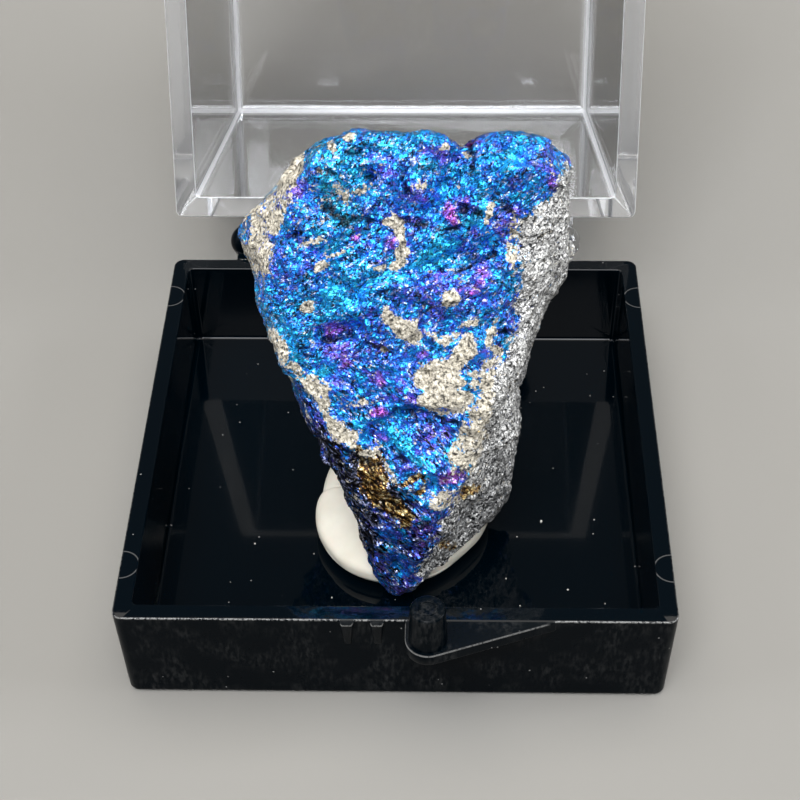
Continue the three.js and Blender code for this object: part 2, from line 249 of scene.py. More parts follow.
# The box is two mouldings of one pattern, each made mouth up with its rim at height 0.
box = {
    "side": 41.0,
    "innerCorner": 0.5,
    "edgeRound": 0.5,
    "rimEdge": 0.12,
    "rimGap": 0.2,
    "cornerSteps": 8,
    "fine": 0.1,  # edges of arms, tab and ribs
    "short": 0.02,  # parts end this far short of each other's flat faces, so they join cleanly
}
trayShape = {
    "height": 9.1, "rim": 1.35, "floor": 1.0, "draft": 0.25, "innerDraft": 0.1, "corner": 0.8, "foot": 0.28,
    "post": {"height": 3.3, "top": 1.28, "foot": 1.4},
    "ribs": (-3.42, -1.24), "ribProud": 0.5,
}
lidShape = {
    "height": 33.1, "rim": 1.85, "floor": 1.5, "draft": 0.2, "innerDraft": 0.27, "corner": 0.6, "foot": 0.9,
    "post": {"height": 2.7, "top": 1.0, "foot": 1.1},
    "ribs": (-3.85, -1.0), "ribProud": 0.3,
}
rib = {"root": 1.5, "nose": 0.75, "toe": 0.45, "length": 2.75}
hinge = {
    "back": 2.25, "rise": 0.3, "open": 111, "radius": 1.5, "pin": 0.7, "hole": 0.8, "pinReach": 1.8,
    "holeDepth": 2.1, "outer": (12.6, 14.2), "inner": (9.4, 12.3),
    "armDrop": 3.1, "armTaper": 0.6, "armBeyond": 0.8, "armShelf": 0.8, "rooted": 0.4,
}
catch = {
    "at": 2.45, "forward": 1.55, "thickness": 1.05, "radius": 1.65, "root": 11.7,
    "shoulder": 0.22, "ringRadius": 0.62, "ringProud": 0.09,
}


def arc(centre, radius, start, end, steps):
    # Points on a circle, angles in degrees.
    angle = np.radians(np.linspace(start, end, steps + 1))
    return np.column_stack([centre[0] + radius * np.cos(angle), centre[1] + radius * np.sin(angle)])


def squareRings(profile, corners):
    # Each profile point is a half side and a height; its ring is a square of that half
    # side whose corners are quarter circles of the matching radius in corners.
    steps = box["cornerSteps"]
    angle = np.radians(np.arange(4)[:, None] * 90 + np.linspace(0, 90, steps + 1))
    signX = np.array([1, -1, -1, 1])[:, None]
    signY = np.array([1, 1, -1, -1])[:, None]
    half = profile[:, 0][:, None, None]
    radius = corners[:, None, None]
    x = (half - radius) * signX + radius * np.cos(angle)
    y = (half - radius) * signY + radius * np.sin(angle)
    z = np.broadcast_to(profile[:, 1][:, None, None], x.shape)
    return np.stack([x, y, z], -1).reshape(len(profile), -1, 3)


def openBox(name, s):
    # Walls from the underside, round the lower edge, up the outside, over the rim,
    # down the inside and round the foot to the floor, as one profile carried round.
    half, soft, foot = box["side"] / 2, box["rimEdge"], s["foot"]
    outer, inner = half - s["draft"], half - s["rim"]
    innerFoot = inner - s["innerDraft"]
    edge = box["edgeRound"]
    profile = np.concatenate([
        [(outer - edge - 2, -s["height"])],
        arc((outer - edge, -s["height"] + edge), edge, -90, 0, 6),
        arc((half - soft, -soft), soft, 0, 90, 4),
        arc((inner + soft, -soft), soft, 90, 180, 4),
        arc((innerFoot - foot, -s["height"] + s["floor"] + foot), foot, 0, -90, 6),
        [(innerFoot - foot - 2, -s["height"] + s["floor"])],
    ])
    outerCount = 1 + 7 + 5  # profile points as far as the rim's outer rounding
    corners = np.where(
        np.arange(len(profile)) < outerCount,
        s["corner"] + np.minimum(profile[:, 0] - outer, 0.0),
        box["innerCorner"] + np.minimum(profile[:, 0] - innerFoot, 0.0),
    )
    return loft(name, squareRings(profile, np.maximum(corners, 0.08)))


def turned(name, profile, axis, centre, around=32):
    # A radius and a place along the axis, carried round the axis.
    angle = np.linspace(0, 2 * math.pi, around, endpoint=False)
    across = profile[:, 0][:, None] * np.cos(angle)
    up = profile[:, 0][:, None] * np.sin(angle)
    along = np.broadcast_to(profile[:, 1][:, None], across.shape)
    rings = np.stack([along, across, up] if axis == "x" else [across, up, along], -1)
    return loft(name, rings + np.array(centre))


def prism(name, outline, low, high, axis="z"):
    # A flat outline carried from low to high.
    flat = np.asarray(outline, float)
    ends = []
    for place in (low, high):
        along = np.full(len(flat), place)
        ends.append(np.stack([along, *flat.T] if axis == "x" else [*flat.T, along], -1))
    return loft(name, np.stack(ends))


def post(name, s):
    # A tapered peg with a soft shoulder, and a plain raised ring on its flat end.
    top, foot, height = s["post"]["top"], s["post"]["foot"], s["post"]["height"]
    soft, low = catch["shoulder"], -catch["thickness"] / 2
    shoulder = arc((top - soft, height - soft), soft, 0, 90, 5)
    ring = arc((catch["ringRadius"], height), catch["ringProud"], 0, 180, 5)
    profile = np.concatenate([[(foot, low), (foot, 0.0)], shoulder, ring, [(0.3, height - 0.02)]])
    return turned(name, profile, "z", (catch["at"], -box["side"] / 2 - catch["forward"], 0))


def tab(name):
    # Level with the rim: half round about the post, one side sloping back to the wall.
    front = -box["side"] / 2
    forward, at, root = catch["forward"], catch["at"], catch["root"]
    toRoot = math.hypot(root - at, forward)
    touch = math.degrees(math.atan2(forward, root - at) - math.acos(catch["radius"] / toRoot))
    nose = arc((at, front - forward), catch["radius"], -180, touch, 20)
    rooted = front + hinge["rooted"]
    outline = np.concatenate([[(at - catch["radius"], rooted)], nose, [(root, front), (root, rooted)]])
    return bevelled(prism(name, outline, -catch["thickness"], -box["short"]), box["fine"])


def wedgeRib(name, x, proud):
    # Proud of the wall at the rim, dying into it towards the toe.
    front = -box["side"] / 2
    rooted = front + hinge["rooted"]
    root, nose, toe = rib["root"] / 2, rib["nose"] / 2, rib["toe"] / 2
    foot, top = -rib["length"], -box["short"]
    rings = np.array([
        [(x + nose, rooted, foot), (x - nose, rooted, foot), (x - toe, front, foot), (x + toe, front, foot)],
        [(x + root, rooted, top), (x - root, rooted, top),
         (x - nose, front - proud, top), (x + nose, front - proud, top)],
    ])
    return bevelled(loft(name, rings), box["fine"])


def hingeParts(name, rise):
    # A pinned knuckle with a ball end on the left, a drilled one on the right, each on
    # an arm that runs down the back wall. Gives the parts to join and the hole to cut.
    h = hinge
    wall = box["side"] / 2
    axisY, radius, rooted = wall + h["back"], h["radius"], wall - h["rooted"]
    short = box["short"]
    side = [(rooted, -short), (rooted, -h["armDrop"])]
    # round the knuckle, in radii from its axis
    for along, up in ((0.58, -0.78), (0.93, 0.0), (-0.33, 0.33)):
        side.append((axisY + along * radius, rise + up * radius))
    side.append((wall + h["armShelf"], -short))
    outerIn, outerOut = h["outer"]
    innerIn, innerOut = h["inner"]
    soft = 0.15
    pinned = np.concatenate([
        arc((0, -outerOut), radius, -88, 0, 11), arc((radius - soft, -outerIn - soft), soft, 0, 90, 3),
        [(0.2, -outerIn)],
    ])
    pinRoot, pinEnd = -outerIn - 0.2, -innerOut + h["pinReach"]
    pin = np.array([
        (0.2, pinRoot), (h["pin"], pinRoot),
        (h["pin"], pinEnd - 0.2), (h["pin"] - 0.2, pinEnd), (0.1, pinEnd),
    ])
    drilled = np.concatenate([
        [(0.2, innerIn)], arc((radius - soft, innerIn + soft), soft, -90, 0, 3),
        arc((radius - soft, innerOut - soft), soft, 0, 90, 3), [(0.2, innerOut)],
    ])
    holeEnd, mouth = innerOut - h["holeDepth"], innerOut + 1
    hole = np.array([(0.1, holeEnd), (h["hole"], holeEnd), (h["hole"], mouth), (0.1, mouth)])
    place = (0, axisY, rise)
    outerArm = prism(name + "_outer_arm", side, -outerOut - h["armBeyond"], -outerIn - short, "x")
    innerArm = prism(name + "_inner_arm", side, innerIn + short, innerOut - short, "x")
    for arm, far, inward in ((outerArm, -outerOut - h["armBeyond"], 1), (innerArm, innerOut - short, -1)):
        points = pointsOf(arm)
        atFoot = (points[:, 2] < -h["armDrop"] + 0.01) & (abs(points[:, 0] - far) < 0.01)
        points[atFoot, 0] += inward * h["armTaper"]
        arm.data.vertices.foreach_set("co", (points * millimetre).ravel())
    parts = [
        bevelled(outerArm, box["fine"]),
        bevelled(innerArm, box["fine"]),
        turned(name + "_pinned", pinned, "x", place),
        turned(name + "_pin", pin, "x", place),
        turned(name + "_drilled", drilled, "x", place),
    ]
    return parts, turned(name + "_hole", hole, "x", place)


def halfBox(name, s, rise):
    # One moulding, mouth up with its rim at height 0.
    parts, hole = hingeParts(name, rise)
    parts += [tab(name + "_tab"), post(name + "_post", s)]
    parts += [wedgeRib(name + "_rib", x, s["ribProud"]) for x in s["ribs"]]
    whole = combined(openBox(name, s), parts, "UNION")
    combined(whole, [hole], "DIFFERENCE")
    whole.data.polygons.foreach_set("use_smooth", np.full(len(whole.data.polygons), True))
    whole.data.set_sharp_from_angle(angle=math.radians(40))
    return whole


def weighted(obj):
    # Flat walls stay flat beside their rounded edges.
    normals = obj.modifiers.new("flat_walls", "WEIGHTED_NORMAL")
    normals.keep_sharp = True
    normals.weight = 100


trayFinish = {
    # its faint blue tint is a painted reflection of a cool room
    "black": "#000408",
    "wearHighlightColour": "#c8c7c3",
    "wearHighlightLine": (0.1, 0.3),  # how pale the line of wear and painted highlight is on the rim's sides, and on its front and back
    "wearHighlightTab": 0.22,
    "scuffs": 0.034,
    "dust": 0.35,
    "ejected": 0.12,
    # sizes in millimetres
    "markSize": 0.3, "cloudSize": 3.0, "speckSize": 0.22, "dustApart": 1.5,
    "tabCovers": (6.25, 5.3),  # middle and half length of the stretch of rim behind the tab
    "ribCovers": 0.58,
    "ejectorAt": (20.4, 15.4), "ejectorRadius": 1.3,
}


def blackStyrene(add):
    # Injection-moulded black polystyrene: the mould was polished inside, so the floor is
    # a dark mirror; outside it is satin with faint cloudy handling marks, and the rim's
    # outer edge carries a pale speckled line, partly wear and partly painted highlight.
    f = trayFinish
    half, height = box["side"] / 2, trayShape["height"]
    place = add("TexCoord").outputs["Object"]
    x, y, z = add("SeparateXYZ", place).outputs
    sideX, sideY = add("Math ABSOLUTE", x), add("Math ABSOLUTE", y)
    # from the middle out to a square with rounded corners
    straight = (half - trayShape["corner"]) * millimetre
    overX, overY = (add("Math MAXIMUM", add("Math SUBTRACT", side, straight), 0.0) for side in (sideX, sideY))
    over = add("Math SQRT", add("Math MULTIPLY_ADD", overX, overX, add("Math MULTIPLY", overY, overY)))
    reach = add("Math ADD", straight, over)
    overRim = add("Math SUBTRACT", z, height * millimetre)
    belowRim = add("Math ABSOLUTE", overRim)
    # satin on the walls' outside and on the tab, polished on the rim's top and inside
    offTop = add("Math MAXIMUM", add("Math GREATER_THAN", belowRim, 0.04 * millimetre),
                 add("Math GREATER_THAN", reach, (half + 0.02) * millimetre))
    satin = add("Math MULTIPLY", add("Math GREATER_THAN", reach, (half - 0.7) * millimetre), offTop)
    # the pale line, wear and painted highlight, is a strip on the rim's outer rounding
    outerEdge = add("MapRange", reach, (half - 0.12) * millimetre, (half - 0.03) * millimetre)
    onWall = add("MapRange", reach, (half + 0.03) * millimetre, (half + 0.1) * millimetre, 1.0, 0.0)
    atRim = add("MapRange", belowRim, 0.05 * millimetre, 0.17 * millimetre, 1.0, 0.0)
    frontOrBack = add("MapRange", sideY, (half - 0.8) * millimetre, (half - 0.5) * millimetre, *f["wearHighlightLine"])
    # tab and ribs are level with the rim, so no edge shows there
    covered = add("Math COMPARE", x, *(value * millimetre for value in f["tabCovers"]))
    for ribAt in trayShape["ribs"]:
        atRib = add("Math COMPARE", x, ribAt * millimetre, f["ribCovers"] * millimetre)
        covered = add("Math MAXIMUM", covered, atRib)
    free = add("Math SUBTRACT", 1.0, add("Math MULTIPLY", covered, add("Math LESS_THAN", y, 0.0)))
    edge = add("Math MULTIPLY", add("Math MULTIPLY", outerEdge, onWall),
               add("Math MULTIPLY", add("Math MULTIPLY", atRim, free), frontOrBack))
    # marks three times as tall as wide, gathered in clouds
    tall = add("Mapping", {"Vector": place, "Scale": (1.0, 1.0, 0.35)})
    marks = add("TexNoise", {
        "Vector": tall, "Scale": 1 / (f["markSize"] * millimetre), "Detail": 3.0, "Roughness": 0.6})
    clouds = add("TexNoise", {"Vector": place, "Scale": 1 / (f["cloudSize"] * millimetre), "Detail": 2.0})
    marked = add("Math MULTIPLY", add("MapRange", marks, 0.45, 0.75),
                 add("MapRange", clouds, 0.42, 0.66, 0.0, f["scuffs"]))
    # pale specks of wear and painted highlight, more of them in some places than in others
    specks = add("TexNoise", {
        "Vector": place, "Scale": 1 / (f["speckSize"] * millimetre), "Detail": 2.0, "Roughness": 0.7})
    wearHighlightSpecks = add("Math MULTIPLY_ADD", clouds, 0.35, specks)
    wearHighlightEdge = add("Math MULTIPLY", add("MapRange", wearHighlightSpecks, 0.6, 0.72), edge)
    # a fainter pale line round the top edge of the tab, wear and painted highlight
    offWall = add("MapRange", reach, (half + 0.15) * millimetre, (half + 0.3) * millimetre, 0.0, f["wearHighlightTab"])
    underTop = add("MapRange", belowRim, 0.03 * millimetre, 0.06 * millimetre)
    overSide = add("MapRange", belowRim, 0.13 * millimetre, 0.18 * millimetre, 1.0, 0.0)
    onBevel = add("Math MULTIPLY", underTop, overSide)
    onBevel = add("Math MULTIPLY", onBevel, add("Math LESS_THAN", overRim, 0.0))
    tabLine = add("Math MULTIPLY", add("Math MULTIPLY", offWall, onBevel), add("MapRange", wearHighlightSpecks, 0.45, 0.65))
    wearHighlightEdge = add("Math MAXIMUM", wearHighlightEdge, tabLine)
    # the round marks that the ejector pins left on the side rims, drawn as pale rings: a painted highlight
    # along each mark's shallow step
    atX, atY = f["ejectorAt"]
    offX = add("Math SUBTRACT", sideX, atX * millimetre)
    offY = add("Math SUBTRACT", sideY, atY * millimetre)
    squared = add("Math ADD", add("Math MULTIPLY", offX, offX), add("Math MULTIPLY", offY, offY))
    fromPin = add("Math SQRT", squared)
    fromRing = add("Math ABSOLUTE", add("Math SUBTRACT", fromPin, f["ejectorRadius"] * millimetre))
    onRim = add("MapRange", belowRim, 0.01 * millimetre, 0.03 * millimetre, f["ejected"], 0.0)
    ring = add("Math MULTIPLY", add("MapRange", fromRing, 0.0, 0.07 * millimetre, 1.0, 0.0), onRim)
    # dust, about one speck 0.1 mm across to 25 square millimetres
    dust = add("TexVoronoi", {"Vector": place, "Scale": 1 / (f["dustApart"] * millimetre)})
    speck = add("MapRange", dust, 0.03, 0.05, f["dust"], 0.0)
    amount = add("Math MULTIPLY", marked, satin)
    for other in (wearHighlightEdge, ring, speck):
        amount = add("Math MAXIMUM", amount, other)
    return {
        "Base Color": add("Mix RGBA", amount, linearColour(f["black"]), linearColour(f["wearHighlightColour"])),
        "Roughness": add("Math MULTIPLY_ADD", marks, 0.1, add("MapRange", satin, 0.0, 1.0, 0.0, 0.24)),
        "IOR": 1.5,
        "Specular IOR Level": 0.05,
        "Coat Weight": add("MapRange", satin, 0.0, 1.0, 0.36, 0.0),
        "Coat Roughness": 0.04,
        "Coat IOR": 1.5,
        "Normal": add("Bump", {"Height": specks, "Strength": 0.12, "Distance": 0.04 * millimetre}),
    }


def makeTray():
    # The lower moulding, lifted to stand on the ground.
    tray = halfBox("tray", trayShape, hinge["rise"])
    tray.data.transform(Matrix.Translation((0, 0, trayShape["height"] * millimetre)))
    weighted(tray)
    placed(tray, "tray", "base_tray", newMaterial("moulded_black_styrene", blackStyrene))


def clearStyrene(add):
    # Injection-moulded clear polystyrene with polished faces and a faint frost of handling
    # scratches; its rounded inner edges are made milky, a painted highlight of caught light.
    place = add("TexCoord").outputs["Object"]
    milkyHighlight = add("Attribute", attribute_name="milkyHighlight").outputs["Fac"]
    # the frost comes and goes over 3 mm
    haze = add("TexNoise", {"Vector": place, "Scale": 1 / (3.33 * millimetre), "Detail": 4.0})
    rough = add("MapRange", haze, 0.35, 0.7, 0.01, 0.05)
    return {
        "Base Color": linearColour("#f3f4f6"),
        "Roughness": add("Math MULTIPLY_ADD", milkyHighlight, 0.35, rough),
        "IOR": 1.55,
        "Transmission Weight": add("MapRange", milkyHighlight, 0.0, 1.0, 1.0, 0.35),
    }


def makeLid():
    # The upper moulding: its milky edges, a painted highlight, are marked, then it is turned over and opened.
    lid = halfBox("clear_lid", lidShape, box["rimGap"] - hinge["rise"])
    # milky, as painted highlight, in the middle of the rounding at the foot of the walls and in the corners
    x, y, z = pointsOf(lid).T
    s = lidShape
    inner, soft = box["side"] / 2 - s["rim"], box["rimEdge"]
    reach = np.maximum(abs(x), abs(y))
    inside = reach < inner + 0.01
    upRound = np.clip((z + s["height"] - s["floor"]) / s["foot"], 0, 1)
    atFoot = 4 * upRound * (1 - upRound) * inside
    downWall = np.clip((-z - soft) / (s["height"] - s["floor"] - s["foot"] - soft), 0, 1)
    cornerStart = inner - s["innerDraft"] * downWall - box["innerCorner"]
    cornerTurn = np.arctan2(abs(y) - cornerStart, abs(x) - cornerStart) / (math.pi / 2)
    nearCorner = np.minimum(abs(x), abs(y)) > cornerStart
    atCorner = np.clip(4 * cornerTurn * (1 - cornerTurn), 0, 1) * inside * nearCorner
    # along the rim's two edges too, and thinly so on its flat
    onRim = (z > -soft + 0.01) & (reach > inner - 0.01) & (reach < box["side"] / 2 + 0.01)
    atRim = np.where(z < -0.01, 0.8, 0.15) * onRim
    setValues(lid, "milkyHighlight", np.maximum(np.maximum(atFoot, atCorner), atRim))
    # turned half round, then swung open about the hinge
    axis = (0, box["side"] / 2 + hinge["back"], trayShape["height"] + hinge["rise"])
    swing = Matrix.Translation(axis) @ Matrix.Rotation(math.radians(-hinge["open"]), 4, "X")
    seat = Matrix.Translation((0, -axis[1], box["rimGap"] - hinge["rise"]))
    placing = swing @ seat @ Matrix.Rotation(math.pi, 4, "Y")
    placing.translation = placing.translation * millimetre
    lid.data.transform(placing)
    weighted(lid)
    placed(lid, "cover", "lid", newMaterial("moulded_clear_styrene", clearStyrene))


makeTray()
print("tray made")
makeLid()
print("lid made")


putty = {
    "centre": (0.25, -4.1, 2.5), "radius": 7.05, "up": 1.45, "down": 2.2, "squareness": 2.6,
    "waves": ((2, 0.012, 0.8), (5, 0.008, 0.0)),  # count, height, phase
    # pushed out at this angle, over this spread, by this much
    "pushes": ((-42, 30, -0.75), (139, 14, 0.8), (162, 5, -0.2)),
    "lip": ((-5.0, -0.6), (1.5, 2.3), 1.0),  # pulled up against the stone: at, half widths, height
    "fold": ((-7.0, -2.1), (-4.4, -2.5), 0.3),  # where the lip was pressed on: from, to, depth
    "floor": 1.05,
    "grid": 72,
    "colours": [(0.3, "#beb8a9"), (0.7, "#cdc8ba")],
    "dirt": "#77746c",
}


def boxBall(counts):
    # The points of a cube's faces blown up to a ball, with its own count of squares
    # along X, Y and Z. Gives unit vectors and four-sided faces.
    stepX, stepY, stepZ = (np.tan(np.linspace(-1, 1, count + 1) * math.pi / 4) for count in counts)
    sides = []
    for sign in (1, -1):
        a, b = np.meshgrid(stepY, stepZ, indexing="ij")
        sides.append(np.stack([np.full_like(a, sign), sign * a, b], -1))
        a, b = np.meshgrid(stepX, stepZ, indexing="ij")
        sides.append(np.stack([-sign * a, np.full_like(a, sign), b], -1))
        a, b = np.meshgrid(stepY, stepX, indexing="ij")
        sides.append(np.stack([-sign * b, a, np.full_like(a, sign)], -1))
    points, faces, first = [], [], 0
    for side in sides:
        number = first + np.arange(side.shape[0] * side.shape[1]).reshape(side.shape[:2])
        squares = np.stack([number[:-1, :-1], number[1:, :-1], number[1:, 1:], number[:-1, 1:]], -1)
        faces.append(squares.reshape(-1, 4))
        points.append(side.reshape(-1, 3))
        first += number.size
    points = np.concatenate(points)
    points /= np.linalg.norm(points, axis=1)[:, None]
    # points shared by two sides become one
    rounded = np.round(points * 1e6).astype(np.int64)
    unused, keep, again = np.unique(rounded, axis=0, return_index=True, return_inverse=True)
    return points[keep], again.ravel()[np.concatenate(faces)]


def smoothstep(low, high, value):
    # 0 below low, 1 above high, an S curve between.
    t = np.clip((value - low) / (high - low), 0, 1)
    return t * t * (3 - 2 * t)


def scramble(cell, seed):
    # A repeatable value from 0 to 1 for a cell's whole-number place: multiply by large
    # primes, add, and mix the bits by shifts.
    x, y, z = (cell[:, i].astype(np.uint32) for i in range(3))
    h = x * np.uint32(374761393) + y * np.uint32(668265263) + z * np.uint32(1274126177)
    h = h + np.uint32(seed * 362437)
    h = (h ^ (h >> np.uint32(13))) * np.uint32(1274126177)
    h = (h ^ (h >> np.uint32(15))) * np.uint32(668265263)
    return (h ^ (h >> np.uint32(16))) / 4294967296


def softNoise(points, size, seed):
    # Random values at the corners of cells of that size, blended across each cell; -1 to 1.
    cell = np.floor(points / size).astype(np.int64)
    part = points / size - cell
    blend = part * part * (3 - 2 * part)
    total = np.zeros(len(points))
    for corner in itertools.product((0, 1), repeat=3):
        weight = np.prod(np.where(np.array(corner) == 1, blend, 1 - blend), axis=1)
        total += weight * scramble(cell + corner, seed)
    return total * 2 - 1


def chipHeight(points, size, tip, seed, border=0.3):
    # Space is split into cells round scattered seeds; inside its cell each chip is a
    # plane tipped its own way, and it runs out to nothing at the border.
    cell = np.floor(points / size).astype(np.int64)
    nearest = np.full(len(points), np.inf)
    second = nearest.copy()
    rise = np.zeros(len(points))
    for step in itertools.product((-1, 0, 1), repeat=3):
        here = cell + step
        random = np.stack([scramble(here, seed + i) for i in range(6)], -1)
        offset = points - (here + random[:, :3]) * size
        distance = np.linalg.norm(offset, axis=1)
        closer = distance < nearest
        second = np.where(closer, nearest, np.minimum(second, distance))
        rise = np.where(closer, (offset * (random[:, 3:] * 2 - 1)).sum(1), rise)
        nearest = np.minimum(nearest, distance)
    return rise * tip * smoothstep(0, border * size, second - nearest)


def mineralTack(add):
    # Off-white mineral putty pressed by hand: matt, faintly waxy, with grey dust and
    # crumbs of ore caught in its skin.
    place = add("TexCoord").outputs["Object"]
    # waves 3 mm long, and finer ones down to 0.2 mm
    cloud = add("TexNoise", {"Vector": place, "Scale": 1 / (2.86 * millimetre), "Detail": 4.0})
    # one in thirty of the cells, 1.1 mm wide, holds a crumb
    specks = add("TexVoronoi", {"Vector": place, "Scale": 1 / (1.11 * millimetre)})
    picked = add("Math GREATER_THAN", add("SeparateColor", specks.outputs["Color"]), 0.965)
    dirt = add("Math MULTIPLY", picked, add("MapRange", specks, 0.12, 0.3, 0.8, 0.0))
    base = add("ValToRGB", cloud, stops=putty["colours"])
    return {
        "Base Color": add("Mix RGBA", dirt, base, linearColour(putty["dirt"])),
        "Roughness": 0.62,
        "Subsurface Weight": 0.1,
        "Subsurface Scale": 1 * millimetre,
        "Normal": add("Bump", {"Height": cloud, "Strength": 0.4, "Distance": 0.2 * millimetre}),
    }


def makePutty(p):
    # A ball squashed flat: the radius follows a squarer curve than an ellipse from the
    # side, slow waves run round it, and it is cut level at the tray's floor.
    ball, faces = boxBall((p["grid"],) * 3)
    flat = np.hypot(ball[:, 0], ball[:, 1])
    bulge = (flat ** p["squareness"] + abs(ball[:, 2]) ** p["squareness"]) ** (-1 / p["squareness"])
    angle = np.arctan2(ball[:, 1], ball[:, 0])
    waves = sum(high * np.sin(count * angle + phase) for count, high, phase in p["waves"])
    for towards, spreadOver, pushed in p["pushes"]:
        waves += pushed / p["radius"] * np.exp(-((np.degrees(angle) - towards) / spreadOver) ** 2)
    reach = p["radius"] * bulge * (1 + waves)
    tall = np.where(ball[:, 2] > 0, p["up"], p["down"])
    points = np.array(p["centre"]) + np.stack(
        [ball[:, 0] * reach, ball[:, 1] * reach, ball[:, 2] * bulge * tall], -1)
    # dents 2.6 mm apart and wrinkles 0.9 mm apart
    dents = 0.10 * softNoise(points, 2.6, 21) + 0.03 * softNoise(points, 0.9, 22)
    # the lip is a soft hump, and the fold a groove 0.15 mm wide along a line
    at, widths, tall = p["lip"]
    away = (points[:, :2] - at) / widths
    hump = tall * np.exp(-(away ** 2).sum(1))
    start, end, deep = (np.array(value) for value in p["fold"])
    along = np.clip(((points[:, :2] - start) @ (end - start)) / ((end - start) @ (end - start)), 0, 1)
    fromFold = np.linalg.norm(points[:, :2] - start - along[:, None] * (end - start), axis=1)
    dents -= deep * np.exp(-(fromFold / 0.15) ** 2)
    points += ball * np.where(ball[:, 2] > -0.2, dents, 0)[:, None]
    points[:, 2] += hump * smoothstep(-0.1, 0.5, ball[:, 2])
    points[:, 2] = np.maximum(points[:, 2], p["floor"])
    piece = meshObject("pressed_putty", points, faces.tolist())
    placed(piece, "tray", "putty", newMaterial("pressed_mineral_tack", mineralTack))


makePutty(putty)
print("putty made")


# Each crumb's place to the right and back, and its size.
crumbs = [
    (11.55, -3.52, 0.34), (-9.23, 2.24, 0.16), (-11.78, -6.13, 0.2), (-6.91, -7.16, 0.14),
    (9.53, -5.18, 0.16), (8.53, -9.65, 0.2), (13.4, -10.74, 0.22), (9.57, -12.41, 0.16), (15.73, -4.8, 0.14),
    (15.91, -3.26, 0.18), (16.23, -12.14, 0.16), (-5.23, -11.74, 0.24), (16.44, 11.51, 0.14),
    (-13.4, -10.2, 0.12), (3.6, -14.8, 0.14), (12.8, 2.6, 0.12), (-15.6, 6.4, 0.12), (6.8, -16.2, 0.13),
]


def makeCrumbs():
    # Each crumb is a small ball pulled out of round, sunk a little into the floor.
    ball, faces = boxBall((3, 3, 3))
    random = np.random.default_rng(12)
    points, allFaces = [], []
    for right, back, size in crumbs:
        shape = size * 0.4 * random.uniform(0.6, 1.0, 3) * (1 + random.uniform(-0.2, 0.2, ball.shape))
        place = (right, back, trayShape["floor"] + size * 0.2)
        allFaces += (faces + len(ball) * len(points)).tolist()
        points.append(ball * shape + place)
    piece = meshObject("crumbs", np.concatenate(points), allFaces, smooth=False)
    placed(piece, "tray", None, newMaterial("crumbled_rock", lambda add: {
        "Base Color": linearColour("#b9b6ae"),
        "Roughness": 0.8,
    }))


makeCrumbs()
print("crumbs made")


